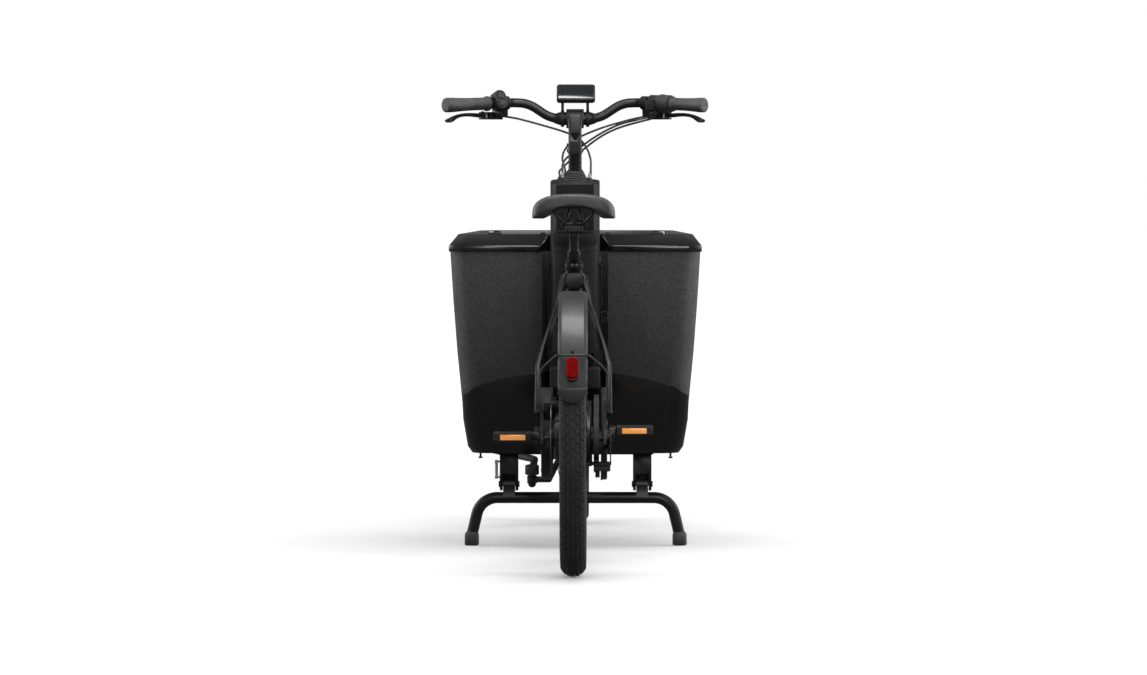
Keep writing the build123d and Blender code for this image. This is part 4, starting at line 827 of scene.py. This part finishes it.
# ---------------------------------------------------------------- screws, clips and small parts
def screws():
    """Screw heads on the frame, the steering, the fork, both discs and the cranks."""
    heads = {body: [] for body in ("rear_wheel", "front_wheel", "crank", "frame", "steering", "fork")}

    def screw(body, centre, axis, radius, height=0.0032):
        """Adds one screw head to a body's own."""
        heads[body].append(bolt_head(centre, axis, radius, height))

    tilt_up = math.radians(37.7)
    out = Vector((0, -math.cos(tilt_up), math.sin(tilt_up)))
    screw("frame", REAR_AXLE + out * (FENDER_R - 0.0002), out, 0.0036, 0.0024)
    for side in (-1, 1):
        outward = (side, 0, 0)
        screw("frame", (side * 0.0800, 0.020 - ORIGIN_Y, 0.3885), (0, -1, 0), 0.0046)
        for y in (0.030, 0.052):
            screw("frame", (-0.0675, y - ORIGIN_Y, 0.374), (-1, 0, 0), 0.0045)
        for height in (0.965, 0.978):
            screw("steering", column_point(height, side * 0.0168), outward, 0.0040)
        for z in (1.031, 1.051):
            screw("steering", (side * 0.013, 0.864 - ORIGIN_Y, z), (0, 1, 0), 0.0036)
        clamp = grip_point(0.022, side, 0.0155, -0.010)
        screw("steering", clamp + Vector((0, 0, -0.022)), (0, 0, -1), 0.0034)
        screw("steering", grip_point(0.058, side, 0.042, -0.020), (0, 0, 1), 0.0036, 0.0018)
        screw("fork", (side * 0.0585, FRONT_Y - 0.2245, 0.392), outward, 0.0040)
        screw("crank", (side * 0.0930, CRANK_Y, CRANK_Z), outward, 0.0095, 0.0014)
    for k in range(3):
        turn = math.radians(40 + 120 * k)
        for side in (-1, 1):
            at = (side * 0.077, CRANK_Y + 0.088 * math.cos(turn), CRANK_Z + 0.088 * math.sin(turn))
            screw("frame", at, (side, 0, 0), 0.0045, 0.0015)
    for wheel, centre, x in (("rear_wheel", REAR_AXLE, -0.0515), ("front_wheel", FRONT_AXLE, -0.037)):
        for k in range(6):
            turn = math.radians(60 * k + 30)
            at = centre + Vector((x, 0.026 * math.cos(turn), 0.026 * math.sin(turn)))
            screw(wheel, at, (-1, 0, 0), 0.0034, 0.0015)
    for body, meshes in heads.items():
        if body.endswith("wheel"):
            joined(body + "_disc_bolts", meshes, body, SHADE_DARKENED_STEEL)
        else:
            ending = "_bolts" if body == "crank" else "_screws"
            joined(body + ending, meshes, body, SATIN_STEEL)


screws()


def spring_piece():
    """Coil of the stand's pull spring, with a ring at each end over its pins."""
    x, y, low, high = -0.1935, STAND_Y, 0.172, 0.202
    turns, steps = 11, 16
    coil = []
    for k in range(turns * steps + 1):
        a = 2 * math.pi * k / steps
        coil.append(Vector((x + 0.0036 * math.cos(a), y + 0.0036 * math.sin(a),
                            low + (high - low) * k / (turns * steps))))
    meshes = [swept("coil", coil, round_section(0.0008, 8))]
    for z in (0.168, 0.206):
        ring = [Vector((x + 0.0034 * math.cos(2 * math.pi * k / 20), y,
                        z + 0.0042 * math.sin(2 * math.pi * k / 20))) for k in range(20)]
        meshes.append(swept("eye", ring, round_section(0.0008, 8), closed=True))
        meshes.append(turned("pin", (-0.1845, y, z), (-1, 0, 0),
                             [(0, 0.0025), (0.0125, 0.0025), (0.0130, 0.0021)], 16))
    joined("stand_spring_coil", meshes, "frame", SPRING_STEEL, ["stand_spring"])


spring_piece()


CRANK_LENGTH, PEDAL_X, PEDAL_HALF_DEPTH = 0.170, 0.141, 0.043
PEDALS = (("left_pedal", -1, CRANK_Y - CRANK_LENGTH), ("right_pedal", 1, CRANK_Y + CRANK_LENGTH))
REFLECTOR_SIZE, REFLECTOR_SUNK = (0.058, 0.0020, 0.0124), 0.0007


def reflectors():
    """Amber faces in the recesses of both long sides of each pedal, just proud of them."""
    for pedal, side, middle in PEDALS:
        faces = []
        for end in (-1, 1):
            centre = (side * PEDAL_X, middle + end * (PEDAL_HALF_DEPTH - REFLECTOR_SUNK), CRANK_Z)
            faces.append(slab("reflector", centre, X_WAY, Y_WAY, REFLECTOR_SIZE, 0.0003))
        joined(pedal + "_reflectors", faces, pedal, AMBER_PAINTED_GLOW)


reflectors()


BOOT_X, BOOT_Y = 0.254, 1.126 - ORIGIN_Y
BOOT_SIZE, BOOT_ROUND, BOOT_FLAT_BELOW = (0.035, 0.040, 0.036), 0.0110, 0.012


def stand_boots():
    """Rounded rubber boots on the stand's legs, flat underneath."""
    boots = []
    for side in (-1, 1):
        centre = (side * BOOT_X, BOOT_Y, BOOT_SIZE[2] / 2)
        boot = slab("boot", centre, X_WAY, Y_WAY, BOOT_SIZE, BOOT_ROUND)
        for v in boot.vertices:
            if v.co.z < BOOT_FLAT_BELOW:
                v.co.z = max(0.0, v.co.z * 0.35 - 0.0006)
        boots.append(boot)
    joined("stand_boots", boots, "stand", BOOT_RUBBER, ["stand_feet"])


stand_boots()


PLATE_X, PLATE_Y, PLATE_Z = 0.1625, STAND_Y + 0.0185, 0.186
PLATE_SIZE = (0.0312, 0.006, 0.076)


def bracket_plates():
    """Front plates that close the two stand brackets into channels."""
    plates = [slab("plate", (side * PLATE_X, PLATE_Y, PLATE_Z), X_WAY, Y_WAY, PLATE_SIZE, 0.0006)
              for side in (-1, 1)]
    joined("bracket_plates", plates, "frame", SATIN_STEEL)


bracket_plates()


def rim_clips():
    """Four tent clips on the back of the rim."""
    clips = []
    for x, wide in ((-0.195, 0.034), (-0.078, 0.012), (0.078, 0.012), (0.195, 0.034)):
        clips.append(slab("clip", (x, 0.967 - ORIGIN_Y, 0.7648), X_WAY, Y_WAY,
                          (wide, 0.012, 0.0046), 0.0012))
    joined("rim_clips", clips, "frame", SOFT_RUBBER)


def key_loop():
    """Twisted wire loop with a small ring, hung on the right tie rod."""
    centre = column_point(0.577, 0.0705, -0.046)
    loop = [centre + Vector((0.0085 * math.cos(a), 0.003 * math.sin(2 * a), 0.0120 * math.sin(a)))
            for a in (2 * math.pi * k / 24 for k in range(24))]
    small = [centre + Vector((0.004 + 0.005 * math.cos(a), 0.004, -0.010 + 0.006 * math.sin(a)))
             for a in (2 * math.pi * k / 20 for k in range(20))]
    joined("key_loop", [swept("loop", loop, round_section(0.0014, 8), closed=True),
                        swept("ring", small, round_section(0.0010, 8), closed=True)],
           "frame", SATIN_STEEL)


def battery_ribs():
    """Upright ribs on the battery's handle cap, and two bands below them."""
    ribs = []
    top = column_point(0.7845)
    for k in range(-6, 7):
        x = 0.0075 * k
        bulge = 0.0215 * (1 - (x / 0.0525) ** 2)
        at = top + Vector((x, 0, 0)) - FORWARD * (0.0795 + bulge)
        ribs.append(slab("rib", at, (1, 0, 0), AXIS, (0.0034, 0.010, 0.005), 0.001))
    for height in (0.7600, 0.7480):
        rows = []
        for k in range(-12, 13):
            x = 0.0530 * k / 12
            bulge = 0.0220 * (1 - (x / 0.0530) ** 2)
            rows.append(column_point(height) + Vector((x, 0, 0)) - FORWARD * (0.0868 + bulge))
        ribs.append(swept("band", rows, round_section(0.0016, 10)))
    joined("battery_ribs", ribs, "battery", HOUSING)


def battery_lock():
    """Round battery lock on the right side of the mast housing."""
    lock = column_point(0.700, 0.0588, -0.004)
    piece("battery_lock", turned("battery_lock", lock, (1, 0, 0), [
        (0, 0.0095), (0.0016, 0.0095), (0.0022, 0.0085), (0.0022, 0.0060), (0.0010, 0.0058),
        (0.0010, 0.00002)], 28), "frame", SHADE_DARKENED_STEEL)


rim_clips()
key_loop()
battery_ribs()
battery_lock()


def valves():
    """Valve stem standing inwards from each rim."""
    for body, centre, radius in (("rear_wheel", REAR_AXLE, REAR_R), ("front_wheel", FRONT_AXLE, FRONT_R)):
        out = Vector((0, math.cos(0.6), math.sin(0.6)))
        piece(body + "_valve", turned(body + "_valve", centre + out * (radius - 0.0752), -out, [
            (-0.002, 0.0032), (0.018, 0.0032), (0.019, 0.0040), (0.034, 0.0040), (0.036, 0.0030)], 18),
            body, SOFT_RUBBER)


valves()


def harness():
    """Two child belts: shoulder and lap webbing with a buckle, laid over each bench pad."""
    section = [(-0.0125, -0.0008), (0.0125, -0.0008), (0.0125, 0.0008), (-0.0125, 0.0008)]
    straps, buckles = [], []
    lap_z = 0.4845
    for middle in (-PAD_X, PAD_X):
        for side in (-1, 1):
            x = middle + side * 0.036
            route = [(x, 0.990 - ORIGIN_Y, 0.690), (x, 1.000 - ORIGIN_Y, 0.640),
                     (x, 1.016 - ORIGIN_Y, 0.560), (x, 1.040 - ORIGIN_Y, 0.500),
                     (x - side * 0.006, 1.072 - ORIGIN_Y, 0.4870),
                     (middle + side * 0.020, 1.120 - ORIGIN_Y, lap_z),
                     (middle + side * 0.006, 1.150 - ORIGIN_Y, lap_z)]
            straps.append(swept("strap", smooth_path(route, 8), section))
            lap = [(middle + side * 0.100, 1.064 - ORIGIN_Y, lap_z - 0.002),
                   (middle + side * 0.066, 1.110 - ORIGIN_Y, lap_z),
                   (middle + side * 0.016, 1.158 - ORIGIN_Y, lap_z + 0.001)]
            straps.append(swept("strap", smooth_path(lap, 8), section))
        buckles.append(slab("buckle", (middle, 1.162 - ORIGIN_Y, lap_z + 0.004), X_WAY, Y_WAY,
                            (0.040, 0.046, 0.013), 0.004))
    joined("child_belts", straps, "frame", WEBBING)
    joined("belt_buckles", buckles, "frame", MOULDED)


harness()


# ---------------------------------------------------------------- bench cushions
def cushion(name, x_mid):
    """Stuffed seat pad with a crowned top, pressed out by a short cloth simulation."""
    low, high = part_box("bench_cushion")
    inset, most = 0.006, 0.007
    y0, y1 = low.y + inset, high.y - inset
    z0, z1 = low.z + 0.002, high.z - 0.010
    bm = bmesh.new()
    bmesh.ops.create_cube(bm, size=1.0)
    for v in bm.verts:
        v.co = Vector((x_mid + v.co.x * 2 * (PAD_HALF_X - inset),
                       (y0 + y1) / 2 + v.co.y * (y1 - y0), (z0 + z1) / 2 + v.co.z * (z1 - z0)))
    bmesh.ops.bevel(bm, geom=bm.edges[:], offset=0.010, segments=3, affect="EDGES", profile=0.5)
    mesh = bpy.data.meshes.new(name)
    bm.to_mesh(mesh)
    bm.free()
    obj = piece(name, mesh, "frame", CLOTH, ["bench_cushion"])
    obj.parent = None
    remesh = obj.modifiers.new("even", "REMESH")
    remesh.mode = "VOXEL"
    remesh.voxel_size = 0.006
    apply_modifiers(obj)
    rest = [v.co.copy() for v in obj.data.vertices]
    cloth = obj.modifiers.new("stuffing", "CLOTH")
    cloth.settings.use_pressure = True
    cloth.settings.uniform_pressure_force = 4.0
    cloth.settings.effector_weights.gravity = 0.0
    scene = bpy.context.scene
    for step in range(1, 21):
        scene.frame_set(step)
    apply_modifiers(obj)
    scene.frame_set(1)
    for v, start in zip(obj.data.vertices, rest):
        move = v.co - start
        move.z = max(move.z, 0.0)
        if move.length > most:
            move *= most / move.length
        v.co = start + move
    for v in obj.data.vertices:
        across = (v.co.x - x_mid) / PAD_HALF_X
        along = (v.co.y - (y0 + y1) / 2) / ((y1 - y0) / 2)
        if v.co.z > (z0 + z1) / 2:
            crown = (1 - across ** 2) * (1 - along ** 2)
            v.co.z += 0.004 * crown
            for seam in (-0.34, 0.34):
                v.co.z -= 0.0045 * math.exp(-((along - seam) / 0.045) ** 2)
    smooth = obj.modifiers.new("smooth", "SMOOTH")
    smooth.factor = 0.5
    smooth.iterations = 4
    sub = obj.modifiers.new("finer", "SUBSURF")
    sub.levels = sub.render_levels = 1
    apply_modifiers(obj)
    obj.data.shade_smooth()
    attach(obj, "frame")


cushion("bench_pad_left", -PAD_X)
cushion("bench_pad_right", PAD_X)


# ---------------------------------------------------------------- stage, light and camera
def stage():
    """Mid grey floor that glows more with distance and neither lights nor is mirrored in anything."""
    mesh = mesh_from("floor", [(-30, -14, 0), (30, -14, 0), (30, 60, 0), (-30, 60, 0)], [(0, 1, 2, 3)])
    mat, n, l, bsdf = new_material("floor_paint")
    patch = noise(n, l, coords(n, l), 3.0, 4.0)
    l.new(ramp(n, l, patch, [(0.3, (0.435, 0.435, 0.435)), (0.7, (0.45, 0.45, 0.45))]),
          bsdf.inputs["Base Color"])
    bsdf.inputs["Roughness"].default_value = 0.75
    bsdf.inputs["Emission Color"].default_value = (1.0, 1.0, 1.0, 1.0)
    away = n.new("ShaderNodeVectorMath")
    away.operation = "LENGTH"
    l.new(coords(n, l, (0.14, 0.14, 0.14)), away.inputs[0])
    l.new(spread(n, l, away.outputs["Value"], 0.03, 0.66), bsdf.inputs["Emission Strength"])
    mesh.materials.append(mat)
    floor = in_scene("floor", mesh)
    floor.visible_glossy = False
    floor.visible_diffuse = False


def light(name, spot, target, size, watts):
    """Rectangular lamp at spot, turned to target."""
    data = bpy.data.lights.new(name, "AREA")
    data.shape = "RECTANGLE"
    data.size, data.size_y = size
    data.energy = watts
    lamp = in_scene(name, data)
    lamp.location = spot
    lamp.rotation_euler = (Vector(target) - Vector(spot)).to_track_quat("-Z", "Y").to_euler()
    return lamp


stage()
light("fill", (1.5, -9.0, 3.6), (0, 0, 0.6), (5.0, 4.0), 345)
top = light("top", (0.3, -0.6, 4.0), (0, 0.1, 0.5), (3.2, 4.5), 40)
top.visible_glossy = False
light("guard_strip", (0.05, -0.84, 2.2), (0, -1.15, 0.60), (0.8, 0.66), 19)
for lamp_side, edge_watts in ((1, 190), (-1, 125)):
    edge = light("edge", (lamp_side * 3.5, 0.4, 1.3), (lamp_side * 0.2, 0.2, 0.4), (2.3, 2.2), edge_watts)
    edge.visible_glossy = False
    light("side_panel", (lamp_side * 3.4, 1.2, 1.5), (lamp_side * 0.2, 0.0, 0.5), (0.9, 2.2), 48)


def sky_panel():
    """Very soft light from above, kept out of reflections."""
    data = bpy.data.lights.new("sky_panel", "SUN")
    data.energy = 3.0
    data.angle = math.radians(95)
    sun = in_scene("sky_panel", data)
    sun.rotation_euler = (math.radians(-8), math.radians(3), 0)
    sun.visible_glossy = False


def surround():
    """White surround for the eye, and a dim one for everything else."""
    world = bpy.data.worlds.new("studio")
    world.use_nodes = True
    n, l = world.node_tree.nodes, world.node_tree.links
    seen = n["Background"]
    seen.inputs["Strength"].default_value = 1.0
    dim = add(n, "ShaderNodeBackground", Strength=0.16)
    for background in (seen, dim):
        background.inputs["Color"].default_value = (1, 1, 1, 1)
    ray = n.new("ShaderNodeLightPath")
    either = n.new("ShaderNodeMixShader")
    l.new(ray.outputs["Is Camera Ray"], either.inputs["Fac"])
    l.new(dim.outputs["Background"], either.inputs[1])
    l.new(seen.outputs["Background"], either.inputs[2])
    l.new(either.outputs["Shader"], n["World Output"].inputs["Surface"])
    bpy.context.scene.world = world
    bpy.context.scene.view_settings.view_transform = "Standard"


LENS_MM, LOOKS_DOWN, LOOKS_LEFT = 194.4, math.radians(1.6726), math.radians(0.3006)
CAMERA_AT = Vector((0.074, -14.0 - ORIGIN_Y, 0.950))


def long_lens_camera():
    """Camera far behind the bicycle, close to level."""
    data = bpy.data.cameras.new("camera")
    data.sensor_width = 36.0
    data.lens = LENS_MM
    data.clip_end = 200.0
    camera = in_scene("camera", data)
    camera.location = CAMERA_AT
    camera.rotation_euler = (math.radians(90) - LOOKS_DOWN, 0.0, LOOKS_LEFT)
    bpy.context.scene.camera = camera


sky_panel()
surround()
long_lens_camera()
